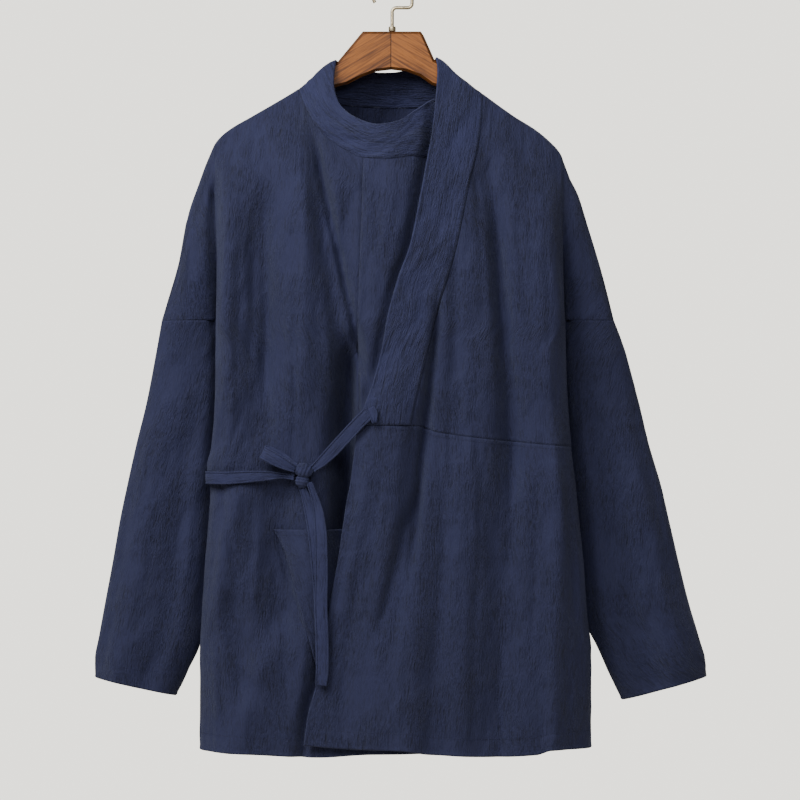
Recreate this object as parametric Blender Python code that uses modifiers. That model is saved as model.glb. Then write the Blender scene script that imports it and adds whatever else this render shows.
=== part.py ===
"""A plain navy wrap jacket of kimono cut, tied at the front, on a wooden hanger with a wire hook.

+Z is up and the origin is the inside top of the hook, where a rail carries it. The front faces -Y
and the wearer's right is at -X. Sizes and tables are in millimetres, and "down" is the distance
below the origin. Each cloth piece is an open sheet through worked out rows, with its wall inwards.
"""

import bisect
import math
from collections import namedtuple

import bmesh
import bpy
from mathutils import Vector
from mathutils.bvhtree import BVHTree

MM = 0.001

CLOTH_WALL = 1.5
BAND_WALL = 2.4
TIE_WALL = 1.8
SEAM_GAP = 0.5
LAYER_GAP = 9.0
LAP_SHADOW = 8.0
OVERLAP_LIFT = 6.0
LIFT_END_X = 185.0
LIFT_FADE = 75.0
LIFT_START = 6.0
LIFT_EASE = 30.0
BARE_SLOPE = 1.5
BARE_REACH = 60.0

ARMPIT_DOWN = 400.0
WAIST_DOWN = 521.0
HEM_DOWN = 900.0
SIDE_SEAM_Y = 4.0
SIDE_SEAM_GAP = 1.2
ARMPIT_INSET = 3.5
ARMPIT_EASE = 35.0
FREE_EDGE_GAP = 1.2
FOLD_GAP = 1.0
CAP_FRONT = 17.0
CAP_BACK = 15.0
NECK_BULGE = 13.0
NECK_HALF_WIDTH = 62.0
NECK_EASE = 18.0

HANGER_HALF_THICKNESS = 5.5
HANGER_EDGE = 3.0
HANGER_UNDER_CLOTH = 3.2
ARM_END = 181.0
WIRE_RADIUS = 2.0
HOOK_RADIUS = 23.0
HOOK_JOG_DOWN = 38.5
HOOK_FILLET = 5.0
HOOK_TURN_STEP = 10.5
PLATEAU_DOWN = 66.0
FERRULE_RADIUS = 4.2
FERRULE_HEIGHT = 5.5
FERRULE_EDGE = 0.6
FERRULE_PLAY = 0.35
SEAT_GAP = 0.3

# Rows down each panel below the armpit level or the waist seam, and columns across the overlap.
FRONT_LOW_ROWS = 15
BACK_LOW_ROWS = 10
OVERLAP_UPPER_ROWS = 4
OVERLAP_LOWER_ROWS = 11
OVERLAP_COLUMNS = 14

# The hanger from the front, by x and the distance down. Its arms' top edges follow the cloth.
HANGER_PLATEAU = ((-34, PLATEAU_DOWN), (33, PLATEAU_DOWN), (36.5, 71))
HANGER_NECK_X = 49.0
HANGER_LEFT_ARM = (60, 77, 91, 105, 123, 141, 165, ARM_END)
HANGER_RIGHT_ARM = (-64, -78, -93, -108, -122, -136, -162, -ARM_END)
HANGER_ARCH = ((46, 128), (32, 118), (16, 112), (-1, 110), (-18, 112), (-34, 118), (-52, 127))
ARM_ROOT_HEIGHT = 28.0
ARM_TIP_HEIGHT = 19.0

# The folded top edge of the body and its drop shoulders, seen from the front. Lean turns a drop
# below that edge into the distance from it, square to it.
Top = namedtuple("Top", "x down lean")
TOP_LINE = (
    Top(-267, 402, 0.30), Top(-247, 334, 0.30), Top(-236, 278, 0.30), Top(-224, 243, 0.36),
    Top(-212, 211, 0.50), Top(-203, 193, 0.70), Top(-189, 180, 0.84), Top(-162, 164, 0.86),
    Top(-136, 149, 0.86), Top(-108, 132, 0.84), Top(-64, 99, 0.84), Top(50, 96, 0.84),
    Top(77, 117, 0.84), Top(105, 138, 0.84), Top(141, 164, 0.84), Top(165, 179, 0.84),
    Top(182, 193, 0.80), Top(195, 208, 0.60), Top(202, 229, 0.42), Top(215, 255, 0.36),
    Top(225, 287, 0.30), Top(241, 340, 0.30), Top(257, 402, 0.30),
)

# How far the sheet stands out from the middle plane, by its distance from the folded top edge.
Depth = namedtuple("Depth", "inward front back")
DEPTHS = (
    Depth(0, 0.4, 0.4), Depth(0.4, 3.6, 3.6), Depth(2, 7.2, 7.2), Depth(5, 9.6, 9.6),
    Depth(12, 13, 12.5), Depth(25, 20, 18), Depth(50, 32, 28), Depth(80, 43, 36),
    Depth(120, 52, 42), Depth(200, 60, 47), Depth(330, 65, 50), Depth(450, 70, 54),
    Depth(660, 80, 60),
)

# The body's side edges from the front, by the distance down.
Edge = namedtuple("Edge", "down right_side left_side")
SIDE_EDGES = (
    Edge(400, -203, 199), Edge(470, -203, 201), Edge(545, -208, 206), Edge(568, -213, 208),
    Edge(590, -209, 211), Edge(680, -215, 220), Edge(747, -219, 225), Edge(777, -221, 229),
    Edge(900, -221, 229),
)

# The free edge of the overlap: the collar band's inner edge, then the lap below the waist.
Lap = namedtuple("Lap", "down x")
LAP_EDGE = (
    Lap(96, 50), Lap(109, 52), Lap(143, 50), Lap(181, 46), Lap(219, 39), Lap(262, 31),
    Lap(315, 20), Lap(351, 7), Lap(399, -6), Lap(434, -12), Lap(475, -23), Lap(497, -31),
    Lap(521, -39), Lap(586, -48), Lap(607, -52), Lap(674, -62), Lap(718, -70), Lap(813, -86),
    Lap(851, -96), Lap(900, -103),
)
# The seam of the band on the overlap, and how far above it the matching edge point lies.
BandSeam = namedtuple("BandSeam", "down x rise")
OVERLAP_SEAM = (
    BandSeam(138, 105, 42), BandSeam(177, 102, 27), BandSeam(198, 99, 23), BandSeam(246, 88, 21),
    BandSeam(319, 73, 19), BandSeam(391, 52, 15), BandSeam(434, 41, 12), BandSeam(492, 27, 6),
    BandSeam(521, 21, 0.5),
)
# The band round the back of the neck, from the wearer's left to right, and on along the inner front.
BandStation = namedtuple("BandStation", "seam_x seam_down edge_x edge_down")
NECK_STATIONS = (
    BandStation(104.5, 138.5, 49.8, 96.5), BandStation(103, 139.8, 49.3, 97.3),
    BandStation(99, 142.6, 47.5, 99.3), BandStation(91, 146, 44, 102),
    BandStation(74, 149, 36, 105.8), BandStation(50, 151, 24, 109.3),
    BandStation(25, 152, 12, 111.6), BandStation(0, 152, 0, 112.4),
    BandStation(-25, 151.5, -15, 111.6), BandStation(-50, 150, -31, 109.3),
    BandStation(-75, 147.5, -46, 106.4), BandStation(-94, 143, -56, 103.4),
    BandStation(-103, 138, -61, 101), BandStation(-107, 133.8, -63.3, 99.6),
)
INNER_STATIONS = (
    BandStation(-107.6, 134.2, -64.5, 100.2), BandStation(-106.5, 137.5, -65, 103),
    BandStation(-104, 143, -66, 110), BandStation(-98, 158, -67, 126),
    BandStation(-83, 182, -62, 148), BandStation(-55, 204, -42, 167),
    BandStation(-33, 214, -16, 175.5), BandStation(-6, 216, 6, 172),
    BandStation(20, 212.5, 28, 158), BandStation(46, 216, 50, 145),
    BandStation(58, 236, 70, 154), BandStation(65, 264, 90, 190),
    BandStation(71, 300, 108, 245), BandStation(78, 355, 122, 315),
    BandStation(86, 430, 133, 405), BandStation(92, 520, 138, 518),
)
LEFT_RIDGE = BandStation(105, 138, 50, 96)
RIGHT_RIDGE = BandStation(-108, 132, -64, 99)

# Lines across or down the fronts, by x or by the distance down.
Line = namedtuple("Line", "place value")
INNER_PANEL_SEAM = (Line(214, -33), Line(294, -39), Line(400, -40), Line(560, -36), Line(900, -28))
INNER_FREE_EDGE = (Line(216, 46), Line(264, 65), Line(355, 78), Line(430, 86), Line(520, 92),
                   Line(900, 108))
WAIST_SEAM = (Line(-39, 520), Line(29, 522), Line(53, 529), Line(206, 546), Line(230, 548))
RIGHT_HEM = (Line(-221, 893), Line(-153, 897), Line(-83, 900), Line(-20, 896), Line(110, 894))
LEFT_HEM = (Line(-101, 886), Line(-45, 890), Line(9, 891), Line(44, 896), Line(121, 899),
            Line(165, 897), Line(182, 892), Line(229, 891))
BACK_HEM = (Line(-213, 893), Line(-60, 899), Line(60, 899), Line(221, 891))

# How each side turns from the side seam to the front or back: the distance inside the edge,
# and the share of the sheet's depth.
Turn = namedtuple("Turn", "inset share")
FRONT_TURN = (Turn(10, 0), Turn(1.5, 0.28), Turn(0, 0.58), Turn(5, 0.84), Turn(17, 0.97))
BACK_TURN = (Turn(10, 0), Turn(8, 0.3), Turn(9, 0.6), Turn(14, 0.85), Turn(26, 0.97))

# Folds, each a line from its top to its low end. Rise is positive outwards and negative inwards.
Fold = namedtuple("Fold", "top_x top_down low_x low_down width rise")
FOLD_END = 0.22
FOLD_START = 8.0
FOLD_EASE = 40.0
OVERLAP_FOLDS = (
    Fold(103, 165, 144, 530, 15, -9), Fold(140, 430, 118, 960, 22, -12),
    Fold(70, 300, 76, 560, 8, -5), Fold(38, 470, -4, 800, 14, -9),
    Fold(82, 520, 78, 960, 18, 8), Fold(190, 500, 192, 960, 14, 8),
    Fold(170, 230, 182, 520, 16, 6), Fold(-24, 540, -60, 760, 9, 5), Fold(28, 700, 20, 960, 16, 6),
)
RIGHT_FOLDS = (
    Fold(-150, 215, -150, 600, 20, -13), Fold(-128, 560, -130, 780, 20, -15),
    Fold(-188, 220, -190, 540, 13, 7), Fold(-100, 190, -101, 520, 13, 8),
    Fold(-97, 170, -52, 470, 13, -17), Fold(-52, 400, -58, 730, 17, -32),
    Fold(-170, 570, -213, 770, 14, 9), Fold(-142, 760, -198, 960, 16, 9),
    Fold(-190, 700, -160, 850, 15, -8), Fold(-90, 600, -100, 960, 15, 6),
    Fold(-64, 230, -66, 330, 10, 5),
)
BACK_FOLDS = (
    Fold(-120, 200, -96, 620, 22, -9), Fold(118, 210, 96, 640, 22, -10),
    Fold(-30, 190, -40, 520, 24, 6), Fold(42, 200, 36, 560, 24, 6),
    Fold(-150, 520, -168, 960, 22, 8), Fold(-60, 560, -72, 960, 26, -10),
    Fold(20, 600, 12, 960, 28, 9), Fold(92, 560, 110, 960, 24, -9), Fold(170, 480, 176, 960, 20, 7),
)

# Cross sections of the sleeves, between the outer and the inner point.
Section = namedtuple("Section", "outer_x outer_down inner_x inner_down half_depth middle_y")
RIGHT_SLEEVE = (
    Section(-266.4, 400.4, -202.6, 400.4, 16, -1), Section(-272, 430, -198.5, 430, 19, 5),
    Section(-284, 492, -196.5, 492, 22, 10), Section(-297, 545, -201, 545, 25, 12),
    Section(-307, 590, -204, 590, 27, 12), Section(-315, 628, -206, 630, 28, 12),
    Section(-324, 680, -209, 684, 29, 11), Section(-333, 728, -215, 735, 30, 11),
    Section(-339.5, 764, -222.5, 775, 30, 10), Section(-344.5, 792, -237, 806, 29, 10),
    Section(-344, 813, -250, 834, 28, 10),
)
LEFT_SLEEVE = (
    Section(256.4, 400.4, 198.4, 400.4, 16, -1), Section(268, 430, 194.5, 430, 19, 5),
    Section(285, 492, 195.5, 492, 22, 10), Section(298, 545, 200, 545, 25, 12),
    Section(311, 589, 205, 590, 27, 12), Section(322, 636, 210, 640, 28, 12),
    Section(333, 684, 214, 690, 29, 11), Section(344, 728, 221, 742, 30, 11),
    Section(355, 765, 236, 775, 30, 10), Section(363, 795, 250, 806, 29, 10),
    Section(364, 812, 266, 839, 28, 10),
)
# Folds along a sleeve, by the turn round it in degrees, 0 at the outer point and 90 at the front.
SleeveFold = namedtuple("SleeveFold", "turn width rise start end")
SLEEVE_FOLDS = (
    SleeveFold(62, 20, 5, 0.25, 1.1), SleeveFold(105, 16, -7, 0.1, 1.1),
    SleeveFold(215, 22, -6, 0.15, 1.1), SleeveFold(290, 20, 5, 0.3, 1.1),
)
SLEEVE_ROWS = 12
SLEEVE_SIDES = 18

# Shares of the way from the top edge to the armpit level, close together over the hanger.
SHOULDER_SHARES = (0, 0.002, 0.01, 0.028, 0.065, 0.14, 0.25, 0.38, 0.52, 0.68, 0.84, 1)
OVERLAP_TOPS = (105, 112, 120, 129, 139, 149, 159, 170)
RIGHT_TOPS = (-164, -150, -136, -122)
BACK_TOPS_LEFT = (160, 141, 123)
BACK_TOPS_RIGHT = (-125, -143, -161)
SIDE_TOPS = {"right": (-208, -203.5, -199, -191, -178), "left": (198, 195, 191, 186, 178)}
CAP_TOPS = {"right": (-263, -257, -248, -237, -226, -216), "left": (253, 247, 238, 227, 217, 206)}
CAP_TURNS = (0, 30, 60, 90, 120, 150)
# Where each sleeve hangs from its drop shoulder: its outer and its inner point.
SLEEVE_TOPS = {"right": (-266.4, -202.6), "left": (256.4, 198.4)}

POCKET_TOP = 640.0
POCKET_BOTTOM = 805.0
POCKET_SLANT = (Line(640, -135), Line(666, -123), Line(761, -96), Line(805, -84))
POCKET_TUCK = 9.0
POCKET_LIFT = 1.5
POCKET_ROWS = 12
POCKET_COLUMNS = 8
POCKET_SPREAD = 6.0

KNOT_X = -101.5
KNOT_DOWN = 578.0
KNOT_HALF = Vector((9.8, 7.0, 13.8))
TieStation = namedtuple("TieStation", "x down width")
SIDE_TIE = (
    TieStation(-205, 581, 14.5), TieStation(-190, 581, 14.5), TieStation(-170, 580, 14),
    TieStation(-152, 579, 12.5), TieStation(-138, 578.5, 10), TieStation(-126, 578.5, 6.5),
    TieStation(-112, 579.5, 8),
)
FRONT_TIE = (
    TieStation(-91, 571, 8), TieStation(-80, 562, 12), TieStation(-68, 550, 14.5),
    TieStation(-54, 535, 15), TieStation(-40, 520, 15), TieStation(-27, 507, 15),
)
NEAR_TAIL = (
    TieStation(-96.5, 590, 7), TieStation(-88, 602, 11), TieStation(-81.5, 622, 14.5),
    TieStation(-80.5, 650, 15), TieStation(-80.5, 690, 15), TieStation(-81, 725, 15),
    TieStation(-79.5, 765, 15), TieStation(-79.3, 796, 15), TieStation(-80.8, 817, 13),
)
FAR_TAIL = (
    TieStation(-102, 593, 7.5), TieStation(-96.5, 608, 12), TieStation(-89, 641, 15),
    TieStation(-84.8, 682, 15), TieStation(-82, 716, 15), TieStation(-80.5, 758, 15),
    TieStation(-79.5, 800, 14),
)
# The side tie's turn round the body's edge, by its distance inside that edge and behind its front.
SIDE_TIE_TURN = ((1.0, 11), (-3.4, 23), (-3.8, 33))
# The bow's loop, by its depth behind the knot's middle. It leans as its upright edge does.
LoopPoint = namedtuple("LoopPoint", "x y down width")
LOOP = (
    LoopPoint(-110.1, -3.2, 571, 7), LoopPoint(-120, -6.2, 567, 11),
    LoopPoint(-133, -7.4, 560, 14.5), LoopPoint(-143, -6.4, 554.5, 15),
    LoopPoint(-147.6, -2.2, 552, 15.5), LoopPoint(-147.6, 2.0, 552, 15.5),
    LoopPoint(-142.5, 4.6, 554.8, 15), LoopPoint(-132, 4.6, 560.5, 14.5),
    LoopPoint(-120, 2.6, 567, 10.5), LoopPoint(-110.5, 0.6, 571, 7),
)
LOOP_LEAN = (0.45, 0, 1)
TIE_CROWN = 0.7
TAIL_SPACING = 2.2
KNOT_REACH = 14.0
FAR_TAIL_SINK = 0.8
NEAR_TAIL_RISE = 0.4
TIE_LIFT = 1.6
TIE_MARGIN = 3.0
FAR = 400.0

INDIGO = (0.030, 0.036, 0.092, 1)
INDIGO_BAND = (0.034, 0.040, 0.100, 1)
WARM_WOOD = (0.36, 0.15, 0.055, 1)
WIRE_METAL = (0.55, 0.47, 0.33, 1)
# Each finish: its colour, roughness and metal.
CLOTH = (INDIGO, 0.85, 0.0)
BAND = (INDIGO_BAND, 0.82, 0.0)
WOOD = (WARM_WOOD, 0.45, 0.0)
METAL = (WIRE_METAL, 0.32, 1.0)


def mix(low, high, share):
    return low + (high - low) * share


def smooth(share):
    share = min(max(share, 0.0), 1.0)
    return share * share * (3 - 2 * share)


def read(table, place, key=0, value=1):
    """The value that a table has at a place, on a smooth curve that never overshoots its rows."""
    keys = [row[key] for row in table]
    at = min(max(bisect.bisect_right(keys, place) - 1, 0), len(keys) - 2)

    def slope(i):
        return (table[i + 1][value] - table[i][value]) / (keys[i + 1] - keys[i])

    def tangent(i):
        if i == 0 or i == len(keys) - 1:
            return slope(min(i, len(keys) - 2))
        before, after = slope(i - 1), slope(i)
        return 2 * before * after / (before + after) if before * after > 0 else 0.0

    span = keys[at + 1] - keys[at]
    share = min(max((place - keys[at]) / span, 0.0), 1.0)
    start, end = table[at][value], table[at + 1][value]
    rise = start * (1 + 2 * share) * (1 - share) ** 2 + end * share**2 * (3 - 2 * share)
    return rise + span * (tangent(at) * share * (1 - share) ** 2 + tangent(at + 1) * share**2 * (share - 1))


def straight(table, place, key=0, value=1):
    """The value that a table has at a place, on straight lines between its rows."""
    for low, high in zip(table, table[1:]):
        if place <= high[key] or high is table[-1]:
            return mix(low[value], high[value], (place - low[key]) / (high[key] - low[key]))


def top_down(x):
    return read(TOP_LINE, x)


def inward(x, down):
    return read(TOP_LINE, x, value=2) * max(down - top_down(x), 0.0)


def neck_bulge(x, distance):
    if abs(x) > NECK_HALF_WIDTH:
        return 0.0
    return NECK_BULGE * math.cos(math.pi / 2 * x / NECK_HALF_WIDTH) ** 2 * smooth(distance / NECK_EASE)


def fold_rise(folds, x, down):
    total = 0.0
    for fold in folds:
        along = (down - fold.top_down) / (fold.low_down - fold.top_down)
        if 0 < along < 1:
            centre = mix(fold.top_x, fold.low_x, along)
            ends = smooth(min(along, 1 - along) / FOLD_END)
            total += fold.rise * ends * math.exp(-(((x - centre) / fold.width) ** 2))
    return total


def depth_at(x, down, column, folds):
    distance = inward(x, down)
    plain = read(DEPTHS, distance, value=column) + neck_bulge(x, distance)
    return plain + fold_rise(folds, x, down) * smooth((distance - FOLD_START) / FOLD_EASE)


def overlap_y(x, down):
    sideways = smooth((LIFT_END_X - x) / LIFT_FADE)
    downwards = smooth((inward(x, down) - LIFT_START) / LIFT_EASE)
    return -depth_at(x, down, 1, OVERLAP_FOLDS) - OVERLAP_LIFT * sideways * downwards


def under_y(x, down):
    """The inner front, which stays behind the overlap wherever the overlap covers it."""
    own = -depth_at(x, down, 1, RIGHT_FOLDS)
    bare = max(read(LAP_EDGE, down) - LAP_SHADOW - x, 0.0)
    if bare > BARE_REACH:
        return own
    return max(own, overlap_y(x, down) + LAYER_GAP - BARE_SLOPE * bare)


def back_y(x, down):
    return depth_at(x, down, 2, BACK_FOLDS)


def side_x(side, down, inset):
    if side == "right":
        return read(SIDE_EDGES, down) + inset
    return read(SIDE_EDGES, down, value=2) - inset


def material(name, color, roughness, metallic=0.0):
    made = bpy.data.materials.new(name)
    made.use_nodes = True
    shader = made.node_tree.nodes["Principled BSDF"]
    shader.inputs["Base Color"].default_value = color
    shader.inputs["Roughness"].default_value = roughness
    shader.inputs["Metallic"].default_value = metallic
    return made


def place(name, mesh, finish):
    color, roughness, metallic = finish
    mesh.materials.append(material(name, color, roughness, metallic))
    obj = bpy.data.objects.new(name, mesh)
    bpy.data.collections["kimono_jacket"].objects.link(obj)
    return obj


def sheet_faces(rows, closed=False):
    """Points and faces of a sheet through rows of points, where None leaves a gap."""
    points, index = [], {}
    for r, row in enumerate(rows):
        for c, point in enumerate(row):
            if point is not None:
                index[r, c] = len(points)
                points.append(Vector(point))
    faces = []
    columns = len(rows[0])
    for r in range(len(rows) - 1):
        for c in range(columns if closed else columns - 1):
            corners = [(r, c), (r + 1, c), (r + 1, (c + 1) % columns), (r, (c + 1) % columns)]
            if all(corner in index for corner in corners):
                faces.append([index[corner] for corner in corners])
    return points, faces


def cloth(name, rows, wall, finish, closed=False):
    """A cloth piece: its outer sheet, made a wall inwards."""
    points, faces = sheet_faces(rows, closed)
    mesh = bpy.data.meshes.new(name)
    mesh.from_pydata([point * MM for point in points], [], faces)
    mesh.shade_smooth()
    obj = place(name, mesh, finish)
    solidify = obj.modifiers.new("wall", "SOLIDIFY")
    solidify.thickness = wall * MM
    solidify.offset = -1
    return obj


def line_of(table, value=1):
    """A line that a table gives, as a function of the place along it."""
    def at(place):
        return read(table, place, value=value)

    return at


def upright(x):
    def at(down):
        return x

    return at


def beside(line, distance):
    """A line at a distance to the right of another."""
    def at(down):
        return line(down) + distance

    return at


def between(start, end, share):
    """A line a share of the way from one to another."""
    def at(down):
        return mix(start(down), end(down), share)

    return at


def side_line(side, inset):
    """A line down the body's side. It starts nearer the edge at the armpit and moves in below it."""
    def at(down):
        near = mix(min(inset, ARMPIT_INSET), inset, smooth((down - ARMPIT_DOWN) / ARMPIT_EASE))
        return side_x(side, down, near)

    return at


def free_line(down):
    """The inner panel's free side, just short of the band's hidden seam."""
    return straight(INNER_FREE_EDGE, down) - FREE_EDGE_GAP


def midpoint(first, second):
    return tuple(mix(a, b, 0.5) for a, b in zip(first, second))


Column = namedtuple("Column", "top_x top_down low_x share turn")


def side_columns(side, turns):
    """The columns from the drop shoulder's outer fold to the flat of the front or back."""
    cap_outer, cap_inner = SLEEVE_TOPS[side]
    columns = []
    for top_x, turn in zip(CAP_TOPS[side], CAP_TURNS):
        round_x = mix(cap_outer, cap_inner, (1 - math.cos(math.radians(turn))) / 2)
        columns.append(Column(top_x, top_down(top_x), upright(round_x), 1, turn))
    for top_x, turn in zip(SIDE_TOPS[side], turns):
        line = side_line(side, turn.inset)
        columns.append(Column(top_x, top_down(top_x), line, turn.share, None))
    return columns


def flat_columns(tops, start, end, first=1):
    """Columns between two lines, spread evenly at the bottom and by their own tops above."""
    for i, (top_x, top) in enumerate(tops):
        yield Column(top_x, top, between(start, end, (i + first) / len(tops)), 1, None)


def column_point(column, share, surface, depth_sign, seam_y):
    """A point between a column's top and the armpit level."""
    down = mix(column.top_down, ARMPIT_DOWN, share)
    x = mix(column.top_x, column.low_x(ARMPIT_DOWN), share)
    y = surface(x, down)
    if column.turn is not None:
        reach = CAP_FRONT if depth_sign < 0 else CAP_BACK
        round_y = depth_sign * max(reach * math.sin(math.radians(column.turn)), FOLD_GAP)
        y = mix(y, round_y, smooth(share))
    elif column.share < 1:
        y = mix(y, mix(seam_y, y, column.share), smooth(share))
    return (x, y, -down)


def low_point(column, down, surface, seam_y):
    if column.turn is not None:
        return None
    x = column.low_x(down)
    y = surface(x, down)
    return (x, mix(seam_y, y, column.share), -down)


def panel_rows(columns, surface, depth_sign, low_shares, bottom, seam_y, shares=SHOULDER_SHARES):
    """Rows of a front or back, from its top edge to the armpit level and on to its bottom line."""
    rows = [
        [column_point(column, share, surface, depth_sign, seam_y) for column in columns]
        for share in shares
    ]
    for share in low_shares:
        row = []
        for column in columns:
            down = mix(ARMPIT_DOWN, bottom(column.low_x(HEM_DOWN)), share)
            row.append(low_point(column, down, surface, seam_y))
        rows.append(row)
    return rows


def even(count):
    return [(i + 1) / count for i in range(count)]


def moved_out(station):
    """The panel's point at a band station, the seam gap away from the band."""
    away_x, away_down = station.seam_x - station.edge_x, station.seam_down - station.edge_down
    length = math.hypot(away_x, away_down)
    return (
        station.seam_x + SEAM_GAP * away_x / length,
        station.seam_down + SEAM_GAP * away_down / length,
    )


def build_front_right():
    """The wearer's right front: its main panel, and the inner panel that goes under the overlap."""
    neck = [moved_out(station) for station in INNER_STATIONS]
    corner = (RIGHT_RIDGE.seam_x - SEAM_GAP, top_down(RIGHT_RIDGE.seam_x - SEAM_GAP))
    tops = [(x, top_down(x)) for x in RIGHT_TOPS]
    tops += [corner, *neck[1:5], midpoint(neck[4], neck[5]), *neck[5:7]]
    seam, hem = line_of(INNER_PANEL_SEAM), line_of(RIGHT_HEM)
    sides = side_columns("right", FRONT_TURN)
    columns = sides + list(flat_columns(tops, sides[-1].low_x, seam))
    main_rows = panel_rows(columns, under_y, -1, even(FRONT_LOW_ROWS), hem, SIDE_SEAM_Y)
    cloth("front_right_main", main_rows, CLOTH_WALL, CLOTH)

    first_x, first_down = neck[6]
    start = beside(seam, 2 * SEAM_GAP)
    inner_tops = []
    for before, after in zip(neck[6:9], neck[7:10]):
        inner_tops += [midpoint(before, after), after]
    columns = list(flat_columns(inner_tops, start, free_line))
    columns.insert(0, Column(first_x + SEAM_GAP, first_down, start, 1, None))
    inner = inner_rows(columns, hem)
    cloth("front_right_inner", inner, CLOTH_WALL, CLOTH)
    return main_rows, inner


def inner_rows(columns, hem):
    """The inner panel, whose free side follows the band's hidden seam."""
    shares = SHOULDER_SHARES[:1] + SHOULDER_SHARES[4:]
    rows = []
    for share in shares:
        row = []
        for column in columns:
            down = mix(column.top_down, ARMPIT_DOWN, share)
            x = mix(column.top_x, column.low_x(ARMPIT_DOWN), share)
            row.append((x, under_y(x, down), -down))
        rows.append(row)
    for share in even(FRONT_LOW_ROWS):
        row = []
        for column in columns:
            down = mix(ARMPIT_DOWN, hem(column.low_x(HEM_DOWN)), share)
            x = column.low_x(down)
            row.append((x, under_y(x, down), -down))
        rows.append(row)
    return rows


def build_overlap():
    """The wearer's left front, above and below the waist seam."""
    seam, waist, hem = beside(line_of(OVERLAP_SEAM), SEAM_GAP), line_of(WAIST_SEAM), line_of(LEFT_HEM)
    sides = side_columns("left", FRONT_TURN)
    inner_side = sides[-1].low_x
    tops = [(OVERLAP_TOPS[0] + SEAM_GAP, top_down(OVERLAP_TOPS[0] + SEAM_GAP))]
    tops += [(x, top_down(x)) for x in OVERLAP_TOPS[1:]]
    columns = list(flat_columns(tops, seam, inner_side, first=0)) + sides[::-1]
    upper = panel_rows(columns, overlap_y, -1, [], hem, SIDE_SEAM_Y)
    for row, share in zip(upper, SHOULDER_SHARES):
        down = mix(columns[0].top_down, ARMPIT_DOWN, share)
        row[0] = (seam(down), overlap_y(seam(down), down), -down)
    for share in even(OVERLAP_UPPER_ROWS):
        row = []
        for column in columns:
            end = waist(column.low_x(WAIST_DOWN)) - SEAM_GAP / 2
            row.append(low_point(column, mix(ARMPIT_DOWN, end, share), overlap_y, SIDE_SEAM_Y))
        upper.append(row)
    cloth("front_left_upper", upper, CLOTH_WALL, CLOTH)

    lap = line_of(LAP_EDGE)
    columns = list(flat_columns([(0, 0)] * OVERLAP_COLUMNS, lap, inner_side, first=0))
    columns += [column for column in sides[::-1] if column.turn is None]
    lower = []
    for share in [0.0] + even(OVERLAP_LOWER_ROWS):
        row = []
        for column in columns:
            start = waist(column.low_x(WAIST_DOWN)) + SEAM_GAP / 2
            down = mix(start, hem(column.low_x(HEM_DOWN)), share)
            row.append(low_point(column, down, overlap_y, SIDE_SEAM_Y))
        lower.append(row)
    cloth("front_left_lower", lower, CLOTH_WALL, CLOTH)
    return upper, lower


def build_back():
    """The back, walked from the wearer's left to right so that its faces look backwards."""
    left = side_columns("left", BACK_TURN)
    right = side_columns("right", BACK_TURN)
    tops = [(x, top_down(x)) for x in BACK_TOPS_LEFT]
    tops.append((OVERLAP_TOPS[0] + SEAM_GAP, top_down(OVERLAP_TOPS[0] + SEAM_GAP)))
    tops += [moved_out(station) for station in NECK_STATIONS[1:]]
    tops.append((RIGHT_RIDGE.seam_x - SEAM_GAP, top_down(RIGHT_RIDGE.seam_x - SEAM_GAP)))
    tops += [(x, top_down(x)) for x in BACK_TOPS_RIGHT]
    middle = []
    for i, (top_x, top) in enumerate(tops):
        line = between(left[-1].low_x, right[-1].low_x, (i + 1) / (len(tops) + 1))
        middle.append(Column(top_x, top, line, 1, None))
    columns = left + middle + right[::-1]
    seam_y = SIDE_SEAM_Y + SIDE_SEAM_GAP
    rows = panel_rows(columns, back_y, 1, even(BACK_LOW_ROWS), line_of(BACK_HEM), seam_y)
    cloth("back", rows, CLOTH_WALL, CLOTH)


def middle_y(x, down):
    return 0.0


def band_points(seam_x, seam_down, edge_x, edge_down, surface):
    """Points across the band, from its free edge to its seam."""
    row = []
    seam_drop, edge_drop = seam_down - top_down(seam_x), edge_down - top_down(edge_x)
    for share in (0, 0.25, 0.5, 0.75, 1):
        x = mix(edge_x, seam_x, share)
        down = top_down(x) + mix(edge_drop, seam_drop, share)
        row.append((x, surface(x, down), -down))
    return row


def build_band():
    """The collar band in one strip: up the overlap, round the neck, and down the inner front."""
    rows = []
    downs = [mix(OVERLAP_SEAM[0].down, ARMPIT_DOWN, share) for share in SHOULDER_SHARES]
    waist = WAIST_DOWN - SEAM_GAP / 2
    downs += [mix(ARMPIT_DOWN, waist, share) for share in even(OVERLAP_UPPER_ROWS)]
    for down in reversed(downs[1:]):
        edge_down = down - read(OVERLAP_SEAM, down, value=2)
        edge_x = read(LAP_EDGE, edge_down)
        rows.append(band_points(read(OVERLAP_SEAM, down), down, edge_x, edge_down, overlap_y))
    rows.append(band_points(*LEFT_RIDGE, middle_y))
    for station in NECK_STATIONS:
        rows.append(band_points(*station, back_y))
    rows.append(band_points(*RIGHT_RIDGE, middle_y))
    for station in INNER_STATIONS:
        rows.append(band_points(*station, under_y))
    cloth("collar_band", rows, BAND_WALL, BAND)
    return rows


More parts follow.
